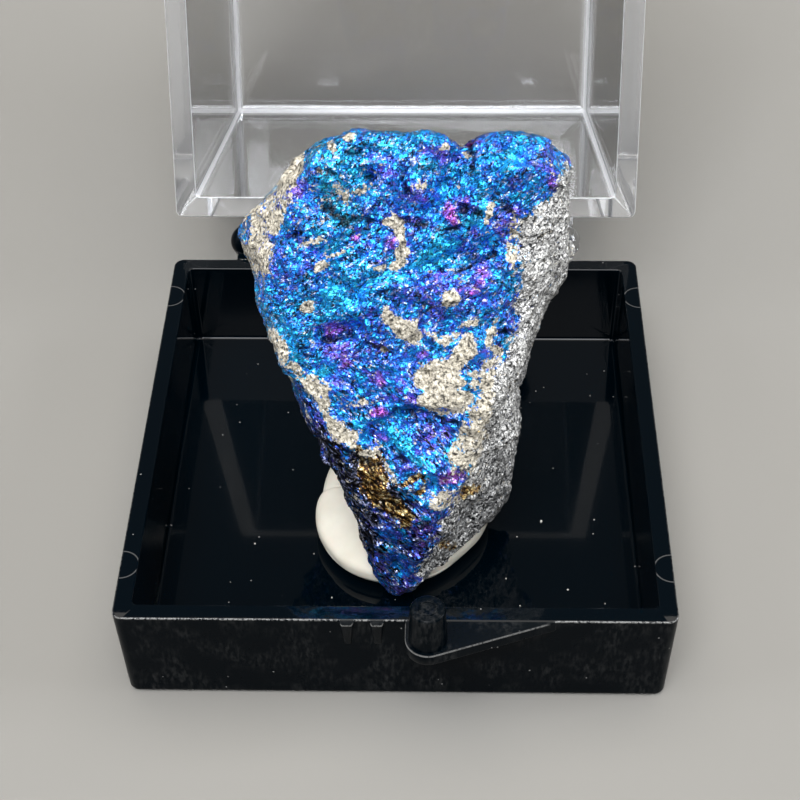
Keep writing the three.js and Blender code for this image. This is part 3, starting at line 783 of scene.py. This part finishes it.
# Patches and grooves lie on the main broken face: right, and up along it, in millimetres.
stone = {
    "centre": (0.3, -2.6, 20.0),
    "lean": 17,
    "half": (12.5, 7.0, 18.0),  # of the slab that its directions are spread over
    "sharpness": 18,  # higher makes the ridges between broken faces sharper
    "faceTip": 43.5, "faceTurn": 2,
    "facePoint": 131,  # the outline narrows towards a point this far out from the face
    "counts": (122, 70, 188),  # squares along X, Y and Z
    # angle in degrees from +X, anticlockwise, and radius
    "outline": [
        (-161, 8.8), (-131, 9.5), (-117, 10.8), (-105, 14), (-99, 16.8), (-94, 19.9),
        (-88, 20.5), (-82, 19), (-73, 16.9), (-61, 15.3), (-53, 13.8), (-45, 11.8),
        (-22, 9.3), (-2, 9.9), (12, 11.2), (21, 13.4), (26, 14.7), (33, 15.3),
        (42, 17.9), (47, 18.8), (52, 19.4), (56, 19.3), (64, 17.9), (67, 17.1),
        (70, 15.7), (72, 15.9), (79, 15.9), (93, 16.1), (112, 16), (120, 15.8),
        (128, 14.9), (141, 15), (147, 14.1), (156, 12.1), (178, 9.6),
    ],
    # which way each broken face looks, and its distance from the centre
    "faces": {
        "main": ((-0.06, -0.91, 0.41), 6.7), "lobe": ((0.34, -0.82, 0.46), 10.0),
        "silver": ((0.76, -0.64, 0.08), 9.8), "silverLow": ((0.72, -0.67, -0.18), 10.75),
        "right": ((0.98, 0.2, -0.1), 12.4), "bronze": ((-0.28, -0.96, 0.02), 9.9),
        "crust": ((-0.8, -0.4, 0.45), 12.6), "left": ((-0.95, 0.1, -0.3), 10.8),
        "back": ((0, 0.96, -0.28), 6.3), "backUpper": ((0.1, 0.8, 0.6), 14.2),
        "top": ((0, -0.05, 1), 18.5), "under": ((0.05, 0.22, -0.97), 16.6),
    },
    # at (right, up), half length, half width, turn in degrees, depth
    "grooves": [
        ((4.3, 12.4), 4.2, 1.3, 72, 1.1), ((4.4, 5.4), 3.6, 0.8, 17, 0.7), ((-4.6, 0.4), 2.0, 0.7, 8, 0.7),
        ((1.6, 8.6), 1.6, 0.7, -12, 0.6), ((-5.4, 9.6), 2.4, 0.7, -20, 0.5),
        ((3.0, -6.6), 2.6, 1.2, -35, 0.6), ((7.6, 1.0), 4.6, 0.9, 74, 0.5),
    ],
    "chips": [(5.4, 0.2, 3), (2.7, 0.24, 8)],
    "chipDepth": 0.2,
    # finer breaks: size, tip, seed
    "grains": [(1.5, 0.16, 31), (0.8, 0.22, 41), (0.45, 0.36, 51)],
    # film from thin to thick
    "filmColours": [
        (0.0, "#cc58b4"), (0.13, "#d468e8"), (0.27, "#a078f8"), (0.4, "#5c6afc"), (0.52, "#2a80ff"),
        (0.64, "#1ea6ff"), (0.78, "#28c0ff"), (0.92, "#40d4fa"), (1.0, "#38ccec")],
    "goldColours": [
        (0.38, "#040305"), (0.45, "#2a160b"), (0.5, "#7a5022"), (0.55, "#cfa655"), (0.61, "#fff2c0")],
    "greyColours": [
        (0.12, "#050506"), (0.3, "#3c3c3e"), (0.48, "#b8b8b6"), (0.64, "#f2f1ec"), (0.8, "#fffefa")],
    "rockColours": [
        (0.36, "#35332f"), (0.42, "#807a6c"), (0.48, "#bcb4a2"), (0.56, "#d4cbb7"), (0.64, "#f6efe0")],
    # flake brightness, partly painted shade and glints
    "tones": [(0.35, "#0c0c0c"), (0.39, "#8c8c8c"), (0.43, "#ececec"), (0.47, "#ffffff")],
    # pale flecks on the film and on the grey ore: partly pale grains, partly painted glints
    "fleck": "#c8d0fc",
    "greyFleck": "#fdfcf8",
    "seed": 5,
    "pointsApart": 0.2,
    # where the blue face gives way to the bare grey side: up and right
    "ridge": [
        (-20, 0.6), (-18, 0.9), (-16, 1.7), (-14, 3.0), (-12, 4.2), (-10, 4.9), (-8, 5.3), (-6, 5.8),
        (-4, 6.4), (-2, 7.3), (0, 8.5), (2, 8.8), (5, 9.0), (8, 9.6), (9.5, 10.8), (11.4, 12.0), (14, 14),
    ],
    # where it gives way to the dark lower left break: right and up
    "brink": [
        (-12, 1), (-8, -3.4), (-6, -5.9), (-4.4, -7.9), (-2.4, -8.8), (-0.3, -10.8), (1, -11.9),
        (2.6, -13.2), (5, -16),
    ],
    # pale rock: at (right, up), half length, half width, turn, strength
    "pale": [
        ((0.1, 7.4), 1.6, 0.5, 95, 1.3), ((-0.4, 8.5), 0.6, 0.45, 0, 1.3), ((0.0, 5.7), 0.8, 0.35, 15, 1.2),
        ((-1.7, 5.4), 0.8, 0.25, 10, 0.9), ((-8.2, 12.8), 1.7, 0.9, 50, 0.95),
        ((-9.4, 10.6), 1.9, 1.1, 60, 0.6), ((-10.4, 9.3), 1.6, 1.1, 60, 0.85),
        ((-10.8, 6.9), 2.2, 1.1, 85, 0.8), ((-9.2, 9.0), 1.2, 0.6, 80, 0.9),
        ((-4.0, 11.0), 0.9, 0.4, 95, 0.8), ((-2.2, 11.0), 1.2, 0.25, 5, 0.7),
        ((-5.8, 5.4), 0.7, 0.4, 20, 1.0), ((-4.7, 14.2), 0.35, 0.3, 0, 1.0),
        ((-3.4, 15.0), 0.6, 0.3, 20, 1.0), ((1.6, 11.4), 0.7, 0.25, 10, 0.9),
        ((6.9, 9.4), 0.9, 0.28, 78, 1.1), ((3.7, 14.4), 0.5, 0.4, 0, 0.9), ((5.2, 13.6), 0.35, 0.3, 0, 0.9),
        ((4.0, 3.1), 0.8, 0.45, 60, 1.1), ((4.9, 1.0), 0.9, 0.35, 20, 0.9),
        ((-7.1, 2.3), 0.5, 0.35, 20, 1.1), ((0.3, 1.0), 1.9, 0.7, -42, 1.3), ((2.8, -3.0), 1.4, 1.2, 0, 1.2),
        ((4.4, -1.5), 1.6, 0.9, 65, 1.05), ((3.3, -4.6), 1.8, 1.0, 5, 1.1),
        ((3.2, 0.0), 1.2, 0.4, -15, 0.65), ((5.3, -3.4), 0.8, 0.8, 0, 0.6),
        ((7.0, -0.4), 2.2, 0.35, 84, 0.8), ((6.3, -3.2), 2.2, 0.6, 76, 0.85),
        ((5.6, -5.9), 2.3, 1.0, 68, 0.8), ((4.9, -8.4), 1.9, 1.1, 62, 0.75),
        ((3.0, -11.9), 1.5, 1.0, 20, 0.7), ((-8.8, -1.0), 2.6, 0.6, -60, 0.8),
        ((-6.3, -4.0), 1.6, 0.9, -55, 0.9), ((-4.9, -6.4), 1.7, 0.7, -55, 0.85),
        ((-3.2, -8.2), 1.7, 0.35, -25, 0.75), ((-1.2, -9.7), 1.4, 0.35, -45, 0.7),
        ((-3.7, -12.0), 2.0, 0.6, -72, 0.65), ((-1.2, -0.8), 0.3, 0.2, 0, 1.2),
        ((-3.2, -4.5), 0.35, 0.25, 0, 1.1), ((8.7, 6.6), 2.6, 0.5, 75, 0.7),
        ((-6.5, 7.4), 1.4, 0.3, 35, 0.6), ((-4.6, 6.4), 1.2, 0.25, 15, 0.6),
        ((-7.6, -5.6), 1.6, 0.3, -62, 0.9),
    ],
    # the film: at, half length, half width, turn, thickness, strength; a thickness of
    # 0.1 is magenta, 0.27 violet, 0.4 royal, 0.6 azure, 0.8 cyan and 1 teal
    "film": [
        ((3.9, 9.1), 1.0, 0.6, -60, 0.14, 1.0), ((3.0, 13.4), 1.2, 0.9, 0, 0.32, 0.8),
        ((0.9, 10.9), 1.3, 0.8, 0, 0.38, 0.6), ((4.9, 10.1), 0.9, 0.5, -10, 0.3, 0.8),
        ((5.5, 7.2), 1.3, 0.8, 60, 0.4, 0.8), ((11.2, 11.2), 1.0, 0.4, 80, 0.28, 0.8),
        ((5.8, 14.5), 0.4, 0.3, 0, 0.12, 1.0), ((6.2, 4.1), 1.0, 0.5, 30, 0.2, 0.75),
        ((-3.4, 7.6), 0.6, 0.35, 0, 0.26, 0.9), ((-0.8, 6.8), 0.6, 0.4, 0, 0.28, 0.9),
        ((-7.8, 11.3), 0.9, 0.7, 0, 0.32, 0.8), ((-4.6, 1.0), 1.1, 0.5, 10, 0.28, 0.9),
        ((-4.8, -0.8), 1.1, 0.8, 0, 0.32, 0.8), ((-4.4, -2.0), 0.5, 0.5, 0, 0.22, 0.9),
        ((-2.2, -3.1), 0.7, 0.6, 0, 0.28, 0.8), ((-1.9, -5.3), 0.7, 0.5, 0, 0.18, 0.9),
        ((-2.0, -7.4), 0.7, 0.4, 0, 0.28, 0.8), ((1.8, -1.0), 0.4, 0.3, 0, 0.26, 0.9),
        ((3.6, -10.1), 0.9, 0.5, 0, 0.18, 1.0), ((2.4, -9.6), 1.1, 0.6, 20, 0.42, 0.8),
        ((0.2, -9.1), 1.3, 0.6, -40, 0.36, 0.7), ((2.3, -7.0), 2.0, 1.2, 0, 0.44, 0.9),
        ((0.6, -4.0), 1.6, 0.8, -30, 0.46, 0.8), ((8.3, 8.6), 1.6, 1.2, 50, 0.36, 0.6),
        ((2.9, 6.5), 1.9, 1.1, 30, 0.76, 1.0), ((8.3, 13.2), 1.7, 0.7, 35, 0.76, 1.0),
        ((-5.2, 11.4), 1.4, 1.1, 0, 0.8, 0.8), ((-4.9, 9.8), 0.9, 0.4, -10, 0.84, 1.0),
        ((2.4, 12.9), 0.6, 0.5, 0, 0.84, 0.9), ((-0.6, 14.4), 1.8, 0.8, 0, 0.76, 0.8),
        ((12.3, 11.2), 0.6, 0.35, 90, 0.88, 1.0), ((0.3, -8.0), 2.4, 0.6, -42, 0.8, 1.0),
        ((-5.6, -2.4), 1.0, 0.6, 20, 0.76, 1.0), ((8.1, -0.6), 0.5, 0.4, 0, 0.9, 0.9),
        ((-7.8, 0.2), 0.8, 0.7, 0, 0.76, 0.8), ((-2.0, 4.6), 3.2, 1.2, 10, 0.74, 0.7),
        ((-2.4, 12.1), 0.9, 0.4, 0, 0.95, 0.7), ((1.9, -11.6), 1.0, 0.6, 60, 0.64, 0.8),
        ((-4.6, 8.8), 1.6, 0.6, -20, 0.8, 0.6), ((0.1, -14.2), 0.6, 0.3, -20, 0.86, 1.0),
        ((1.5, -13.5), 0.4, 0.25, -20, 0.82, 1.0), ((-0.6, -17.5), 0.5, 0.3, 0, 0.7, 0.8),
        ((-1.4, -15.7), 0.6, 0.3, 0, 0.8, 0.8), ((-3.5, -8.7), 0.3, 0.2, 0, 0.8, 1.0),
    ],
    # broad clean breaks where the film lies even, as the pale ones
    "calm": [
        ((2.8, 6.4), 1.9, 1.0, 30, 0.8), ((8.5, 13.1), 1.9, 0.8, 35, 0.8), ((0.3, -8.0), 2.4, 0.5, -42, 0.8),
        ((-5.6, -2.4), 1.0, 0.6, 20, 0.8), ((6.0, 11.5), 1.4, 0.9, 20, 0.4),
        ((0.6, -1.4), 1.6, 0.6, 10, 0.5), ((5.9, -0.6), 1.4, 0.8, 80, 0.5),
        ((3.6, 10.9), 0.9, 0.6, -30, 0.5), ((2.0, -11.4), 0.9, 0.5, 60, 0.5),
        ((2.4, 9.2), 1.2, 0.4, -40, 0.6), ((-2.6, -6.4), 1.4, 0.5, -40, 0.6),
        ((0.1, -14.2), 0.5, 0.25, -20, 0.9), ((1.5, -13.5), 0.3, 0.2, -20, 0.9),
    ],
    # brassy ore
    "gold": [
        ((-2.4, -9.9), 1.8, 0.7, -52, 1.0), ((-1.5, -11.8), 2.0, 0.8, -40, 1.3),
        ((-0.4, -12.9), 1.5, 0.5, -42, 0.9), ((0.4, -10.7), 1.0, 0.35, -15, 1.0),
        ((4.9, -11.3), 0.65, 0.45, 40, 1.3), ((4.3, -8.8), 0.6, 0.4, -20, 0.9),
        ((-1.9, -8.8), 0.6, 0.25, -40, 0.8), ((-3.8, -7.6), 0.6, 0.25, -30, 0.8),
        ((5.2, -7.8), 1.0, 0.6, 60, 0.5), ((8.9, 15.7), 0.6, 0.2, 0, 0.7), ((-5.9, 14.5), 0.5, 0.2, 30, 0.6),
        ((3.4, -15.2), 0.5, 0.3, 0, 0.7),
    ],
    # creases, painted dark as shade and pressed in a little
    "creases": [
        ((-5.4, 12.2), 1.0, 0.16, -15, 1.0), ((-3.2, 13.9), 0.8, 0.15, 5, 0.9),
        ((-4.8, 9.2), 1.5, 0.22, -32, 1.0), ((-2.4, 8.7), 1.4, 0.2, -8, 1.0),
        ((-4.3, 8.4), 0.5, 0.18, 10, 1.0), ((1.2, 8.5), 1.2, 0.25, -12, 1.0),
        ((0.5, 11.2), 1.0, 0.16, -60, 0.8), ((5.4, 9.5), 1.2, 0.22, -25, 0.9),
        ((8.2, 9.3), 1.8, 0.2, -38, 0.9), ((5.8, 5.6), 1.8, 0.22, 28, 1.0), ((3.2, 5.1), 1.6, 0.1, 26, 0.8),
        ((8.2, 11.6), 1.3, 0.2, -50, 0.7), ((-4.6, 0.4), 1.7, 0.24, 12, 1.0),
        ((-7.3, -0.9), 0.9, 0.2, -50, 0.9), ((-1.7, -0.7), 1.2, 0.14, -20, 0.9),
        ((-0.6, -8.6), 1.3, 0.22, -32, 0.9), ((8.0, 0.2), 0.7, 0.18, 0, 0.8),
        ((5.4, 13.4), 1.6, 0.2, 78, 0.9), ((-7.6, 8.0), 0.8, 0.14, 20, 0.7),
        ((-2.2, 11.9), 0.9, 0.16, -8, 0.8), ((1.9, 2.4), 1.4, 0.14, -30, 0.7),
        ((-3.4, -8.9), 1.6, 0.3, -30, 0.9), ((-3.1, -14.6), 1.8, 0.3, -62, 0.8),
        ((4.2, 8.0), 0.6, 0.2, 30, 0.8), ((3.0, -6.1), 1.6, 0.16, -20, 0.8),
        ((0.0, -5.4), 1.6, 0.12, -15, 0.7), ((-6.6, 3.6), 1.1, 0.12, 30, 0.6),
        ((-1.4, 3.2), 1.2, 0.12, 24, 0.6), ((4.8, 12.0), 0.9, 0.12, 30, 0.6),
        ((-3.6, 6.0), 1.4, 0.1, 14, 0.6),
    ],
    # dimmer reaches of the blue
    "dim": [
        ((2.4, -7.2), 2.0, 1.1, -20, 0.9), ((0.6, -4.0), 1.4, 0.6, -30, 0.6),
        ((6.8, 5.6), 2.2, 0.9, 28, 0.7), ((-6.6, 4.2), 1.0, 0.6, 20, 0.3), ((-7.0, 1.0), 0.9, 0.5, 0, 0.5),
        ((2.2, 2.6), 1.6, 0.7, -20, 0.5), ((-3.6, 8.6), 2.4, 0.8, -15, 0.6),
        ((9.2, 9.0), 1.2, 0.8, -40, 0.4), ((-2.4, 12.0), 0.8, 0.4, 0, 0.8), ((7.4, 12.4), 3.0, 2.0, 30, 0.5),
        ((-2.2, -10.6), 3.4, 1.6, -48, 2.6), ((-3.2, -13.6), 2.4, 0.9, -68, 2.2),
        ((-5.6, -9.2), 3.4, 1.1, -58, 2.6),
    ],
}


def unit(vectors):
    # Each vector over its own length.
    return vectors / np.linalg.norm(vectors, axis=-1, keepdims=True)


def faceAxes(s):
    # The main face's right, up and out, from how far it tips up and turns right.
    tip, turn = math.radians(s["faceTip"]), math.radians(s["faceTurn"])
    out = np.array([math.sin(turn) * math.cos(tip), -math.cos(turn) * math.cos(tip), math.sin(tip)])
    right = np.array([math.cos(turn), math.sin(turn), 0.0])
    return right, np.cross(out, right), out


def leaned(vectors, degrees):
    # Turned about X, so that the top leans back.
    lean = math.radians(degrees)
    x, y, z = vectors.T
    return np.stack([x, y * math.cos(lean) + z * math.sin(lean), z * math.cos(lean) - y * math.sin(lean)], -1)


def acrossPatch(spots, at, long, wide, turn):
    # Each spot's place along and across a turned ellipse, as parts of its half length and width.
    angle = math.radians(turn)
    x, y = spots[:, 0] - at[0], spots[:, 1] - at[1]
    along = (x * math.cos(angle) + y * math.sin(angle)) / long
    across = (y * math.cos(angle) - x * math.sin(angle)) / wide
    return along, across


def patchAmount(spots, *patch):
    # 1 inside an ellipse on the face's plane, falling to 0 about its edge.
    return 1 - smoothstep(0.6, 1.35, np.hypot(*acrossPatch(spots, *patch)))


def patched(spots, patches):
    # The strongest of the patches at each spot.
    return np.max([patchAmount(spots, *patch[:-1]) * patch[-1] for patch in patches], axis=0)


def stoneSurface(s):
    # In each direction the outline and every broken face give an inverse distance; a
    # high-power mean takes the nearest face and rounds the ridges. Grooves and chips
    # are then taken off along the slab's outward direction.
    right, up, out = faceAxes(s)
    half = np.array(s["half"])
    ball, faces = boxBall(s["counts"])
    direction = unit(leaned(ball * half, s["lean"]))
    outward = unit(leaned(ball / half, s["lean"]))
    angles, radii = np.array(s["outline"]).T
    acrossX, acrossY = direction @ right, direction @ up
    reach = np.interp(np.degrees(np.arctan2(acrossY, acrossX)), angles, radii, period=360)
    wide = np.hypot(acrossX, acrossY) + reach * (direction @ out) / s["facePoint"]
    inverse = [np.maximum(wide / reach, 1e-4)]
    for looks, distance in s["faces"].values():
        inverse.append(np.maximum(direction @ unit(np.array(looks)), 0) / distance)
    total = (np.stack(inverse) ** s["sharpness"]).sum(0)
    points = direction * (total ** (-1 / s["sharpness"]))[:, None]
    rise = sum(chipHeight(points, *chip) for chip in s["chips"]) - s["chipDepth"]
    onFace = np.stack([points @ right, points @ up], -1)
    for *groove, deep in s["grooves"]:
        along, across = acrossPatch(onFace, *groove)
        rise -= np.where(points @ out < 0, 0, deep * np.exp(-along ** 4 - across ** 2))
    return points + outward * rise[:, None], faces


def pointNormals(points, triangles):
    # Each triangle's area vector is added to its three points.
    corners = points[triangles]
    area = np.cross(corners[:, 1] - corners[:, 0], corners[:, 2] - corners[:, 0])
    total = np.stack([
        np.bincount(triangles.ravel(), np.repeat(area[:, axis], 3), len(points)) for axis in range(3)], -1)
    return unit(total)


def split(quads, random):
    # Two triangles each, along a diagonal picked at random.
    a, b, c, d = quads.T
    pick = (random.random(len(quads)) < 0.5)[:, None]
    first = np.where(pick, np.stack([a, b, c], -1), np.stack([a, b, d], -1))
    other = np.where(pick, np.stack([a, c, d], -1), np.stack([b, c, d], -1))
    return np.concatenate([first, other])


# What the mesh tells its material at each point.
stoneValues = ("film", "rock", "silver", "shade", "gold", "calm", "tone", "lay")


def grainyOre(add):
    # Chalcopyrite broken rough and tarnished: crinkled metal under a thin film whose
    # thickness sets its colour. Pale rock, bare grey ore and brassy ore lie between,
    # and thin cracks, painted dark as shade, run through it all, faint in the rock.
    film, rock, silver, shade, gold, calm, tone, lay = (
        add("Attribute", attribute_name=name).outputs["Fac"] for name in stoneValues)
    place = add("Attribute", attribute_name="onFace").outputs["Vector"]  # millimetres

    def crinkles(vector, size, detail, distortion=0.0):
        # A noise of one grain size in millimetres: its colour, and that colour's three unlike parts.
        colour = add("TexNoise", {
            "Vector": vector, "Scale": 1 / size, "Detail": detail, "Roughness": 0.65,
            "Distortion": distortion}).outputs["Color"]
        return colour, *add("SeparateColor", colour).outputs

    def cracks(noise, near, far, depth):
        # Painted shade of a crack: darkest where the noise crosses its middle.
        return add("MapRange", add("Math ABSOLUTE", add("Math SUBTRACT", noise, 0.5)), near, far, depth, 1.0)

    # the cleavage runs up to the right above, and down to the right below
    rising, falling = (
        add("Mapping", {"Vector": place, "Rotation": (0, 0, math.radians(degrees)), "Scale": (stretch, 1, 1)},
            vector_type="TEXTURE") for degrees, stretch in ((34, 1.5), (-48, 2.0)))
    along = add("Mix VECTOR", add("Math LESS_THAN", crinkles(place, 1.2, 4.0)[1], lay), rising, falling)
    flakes, flakeTone, flakeFleck, flakeStray = crinkles(along, 0.3, 3.0, 0.5)
    pepper, pepperFleck = crinkles(place, 0.17, 2.0)[::2]
    bitsTone, bitsRock, bitsGrey = crinkles(place, 0.26, 3.0, 0.4)[1:]
    lotRock, lotGrey, lotFilm = crinkles(place, 0.7, 4.0)[1:]
    crack = crinkles(along, 0.62, 3.0, 1.0)[1]

    # film colour: the piece's own thickness and two sizes of stray, less their middles
    strays = add("Mix", add("Math MULTIPLY", calm, 0.7), flakeStray, 0.5)
    thickness = add("Math MULTIPLY_ADD", strays, 0.75, add("Math MULTIPLY_ADD", lotFilm, 0.9, film))
    hue = add("ValToRGB", add("Math SUBTRACT", thickness, 0.835), stops=stone["filmColours"])
    # brightness of each flake, partly painted light: dark flakes and bright ones stand in for shade and
    # glints; evened out where the break is clean
    even = add("Mix", calm, add("Math ADD", flakeTone, tone), 0.53)
    metal = add("VectorMath MULTIPLY", hue, add("ValToRGB", even, stops=stone["tones"]))
    # pale flecks, partly pale grains and partly painted glints, fewer where it is calm
    fleckAt = add("Math MULTIPLY_ADD", tone, 0.22, add("Math MULTIPLY_ADD", calm, 0.1, 0.563))
    fleck = add("MapRange", add("Math SUBTRACT", flakeFleck, fleckAt), 0.0, 0.06, 0.0, 0.85)
    colour = add("Mix RGBA", fleck, metal, linearColour(stone["fleck"]))
    # bare grey ore, with white flecks, partly painted glints, and its own cracks painted dark as shade
    greyTone = add("Math ADD", add("Math MULTIPLY_ADD", tone, 1.2, bitsTone), flakeTone)
    grey = add("ValToRGB", add("MapRange", greyTone, 0.76, 1.14), stops=stone["greyColours"])
    white = add("MapRange", pepperFleck, 0.57, 0.61, 0.0, 0.8)
    grey = add("Mix RGBA", white, grey, linearColour(stone["greyFleck"]))
    grey = add("VectorMath SCALE", grey, cracks(bitsRock, 0.004, 0.04, 0.02))
    # the other stuff lies where its share beats the noise
    lotOfGrey = add("MapRange", add("Math ADD", lotGrey, bitsGrey), 0.72, 1.28)
    lotOfRock = add("MapRange", add("Math ADD", lotRock, bitsRock), 0.72, 1.28)
    isGrey = add("MapRange", add("Math SUBTRACT", silver, lotOfGrey), -0.06, 0.06)
    isGold = add("MapRange", add("Math SUBTRACT", gold, lotOfGrey), -0.06, 0.06)
    isRock = add("MapRange", add("Math SUBTRACT", rock, lotOfRock), -0.05, 0.05)
    colour = add("Mix RGBA", isGrey, colour, grey)
    colour = add("Mix RGBA", isGold, colour, add("ValToRGB", flakeTone, stops=stone["goldColours"]))
    colour = add("Mix RGBA", isRock, colour, add("ValToRGB", bitsTone, stops=stone["rockColours"]))
    # painted shade in long cracks, and in short fine ones between
    between = add("Math MINIMUM", cracks(flakeStray, 0.004, 0.028, 0.05), cracks(bitsGrey, 0.0, 0.02, 0.12))
    cracked = add("Math MINIMUM", cracks(crack, 0.01, 0.038, 0.03), between)
    closed = add("Math MAXIMUM", cracked, add("Math MULTIPLY", isRock, 0.5))

    # every flake and grain tips its own way
    centred = add("VectorMath SUBTRACT", add("VectorMath ADD", flakes, pepper), (1.0, 1.0, 1.0))
    tipping = add("Math MULTIPLY", add("MapRange", isRock, 0.0, 1.0, 2.5, 1.1),
                  add("MapRange", calm, 0.0, 1.0, 0.8, 0.35))
    tilt = add("VectorMath SCALE", centred, tipping)
    tipped = add("VectorMath ADD", add("NewGeometry").outputs["Normal"], tilt)
    return {
        "Base Color": add("VectorMath SCALE", colour, add("Math MULTIPLY", closed, shade)),
        "Metallic": add("MapRange", add("Math ADD", isRock, isGrey), 0.0, 1.0, 0.7, 0.0),
        "Roughness": add("MapRange", isRock, 0.0, 1.0, 0.3, 0.75),
        "Normal": add("VectorMath NORMALIZE", tipped),
    }


def makeStone(s):
    # The broken surface in random triangles, the values for its material, then its grain.
    points, quads = stoneSurface(s)
    random = np.random.default_rng(s["seed"])
    triangles = split(quads, random)
    normals = pointNormals(points, triangles)
    # shift each point a little along the surface, so that no grid shows
    slide = random.uniform(-0.4, 0.4, points.shape) * s["pointsApart"]
    slide -= normals * (slide * normals).sum(1, keepdims=True)
    points = points + slide
    right, up, out = faceAxes(s)
    depth = points @ out
    onFace = np.stack([points @ right, points @ up, depth], -1)
    # where each point lies on the face's plane, seen from the point that the outline narrows to
    spots = onFace[:, :2] / (1 - depth / s["facePoint"])[:, None]
    # patch edges wander by up to a millimetre
    warp = np.stack([
        softNoise(points, 1.6, seed) + 0.5 * softNoise(points, 0.7, seed + 1) for seed in (61, 71)], -1)
    warped = spots + 0.55 * warp
    front = smoothstep(-0.25, 0.1, normals @ out)

    broad = softNoise(points, 4.5, 81) + 0.6 * softNoise(points, 2.0, 82) + 0.4 * softNoise(points, 1.0, 83)
    # right of the ridge the ore is bare and grey, and darker lower down
    beyond = warped[:, 0] - np.interp(warped[:, 1], *np.array(s["ridge"]).T)
    silver = smoothstep(-1.0, 0.6, beyond)
    low = smoothstep(-3, -13, warped[:, 1])
    # below the brink the film is deep blue, and most of it is painted darker as shadow
    above = warped[:, 1] - np.interp(warped[:, 0], *np.array(s["brink"]).T)
    lower = smoothstep(0.4, -0.5, above) * (1 - silver)
    film = 0.6 + 0.14 * broad - 0.12 * lower
    for *patch, thickness, strength in s["film"]:
        film += (thickness - film) * (patchAmount(warped, *patch) * strength * front)
    rock = 0.1 + 0.12 * smoothstep(-0.3, 0.8, softNoise(points, 2.2, 84))
    rock = np.maximum(rock, patched(warped, s["pale"]) * front)
    calm = 0.55 * smoothstep(0.2, 0.8, softNoise(points, 1.3, 90))
    calm = np.maximum(calm, patched(warped, s["calm"])) * front
    gold = patched(warped, s["gold"]) * front
    # painted shade in the creases, which are also pressed in below
    wider = [(at, long, 1.3 * wide, *rest) for at, long, wide, *rest in s["creases"]]
    dark = np.minimum(1.25 * patched(spots + 0.3 * warp, wider), 1)
    dark *= front * smoothstep(-0.8, 0.2, softNoise(points, 0.5, 89))
    # tone darkens as painted shadow below the brink; the dim patches and the lower grey are darker too
    tone = 0.015 - 0.09 * lower - 0.06 * silver * low - 0.06 * patched(warped, s["dim"]) * front
    rock *= 1 - 0.5 * lower
    shade = 1 - 0.92 * dark
    # painted shade: darker where the surface turns away round the edge of the face
    turning = smoothstep(0.45, -0.05, normals @ out + 0.15 * softNoise(points, 0.8, 91))
    shade *= 1 - 0.6 * turning
    # hidden sides: duller, with more bare ore and rock
    back = 1 - front
    film += back * (0.12 * softNoise(points, 5.0, 85) - 0.12)
    silver = silver * front + back * smoothstep(-0.5, 0.6, softNoise(points, 4.0, 86))
    rock = rock * front + back * (0.12 + 0.6 * smoothstep(0.1, 0.6, softNoise(points, 3.4, 87)))
    lay = smoothstep(2.0, -6.0, warped[:, 1])

    grains = sum(chipHeight(points, *grain) for grain in s["grains"])
    lumps = 0.06 * softNoise(points, 0.9, 88) + 0.05
    rise = grains * (1 - 0.6 * np.clip(rock, 0, 1)) + lumps * smoothstep(0.5, 0.9, rock) - 0.3 * dark
    points = points + normals * rise[:, None]
    # painted shade in the hollows between the grains
    shade *= 1 - 0.25 * smoothstep(0.02, 0.25, -grains)

    piece = meshObject("tarnished_stone", points + np.array(s["centre"]), triangles.tolist(), smooth=False)
    for name, values in zip(stoneValues, (film, rock, silver, shade, gold, calm, tone, lay)):
        setValues(piece, name, values)
    vectors = piece.data.attributes.new("onFace", "FLOAT_VECTOR", "POINT")
    vectors.data.foreach_set("vector", onFace.astype(np.float32).ravel())
    finish = newMaterial("broken_tarnished_chalcopyrite", grainyOre)
    placed(piece, "tray", "peacock_ore", finish)
    print("stone made:", len(triangles), "triangles")


makeStone(stone)


bpy.context.view_layer.update()
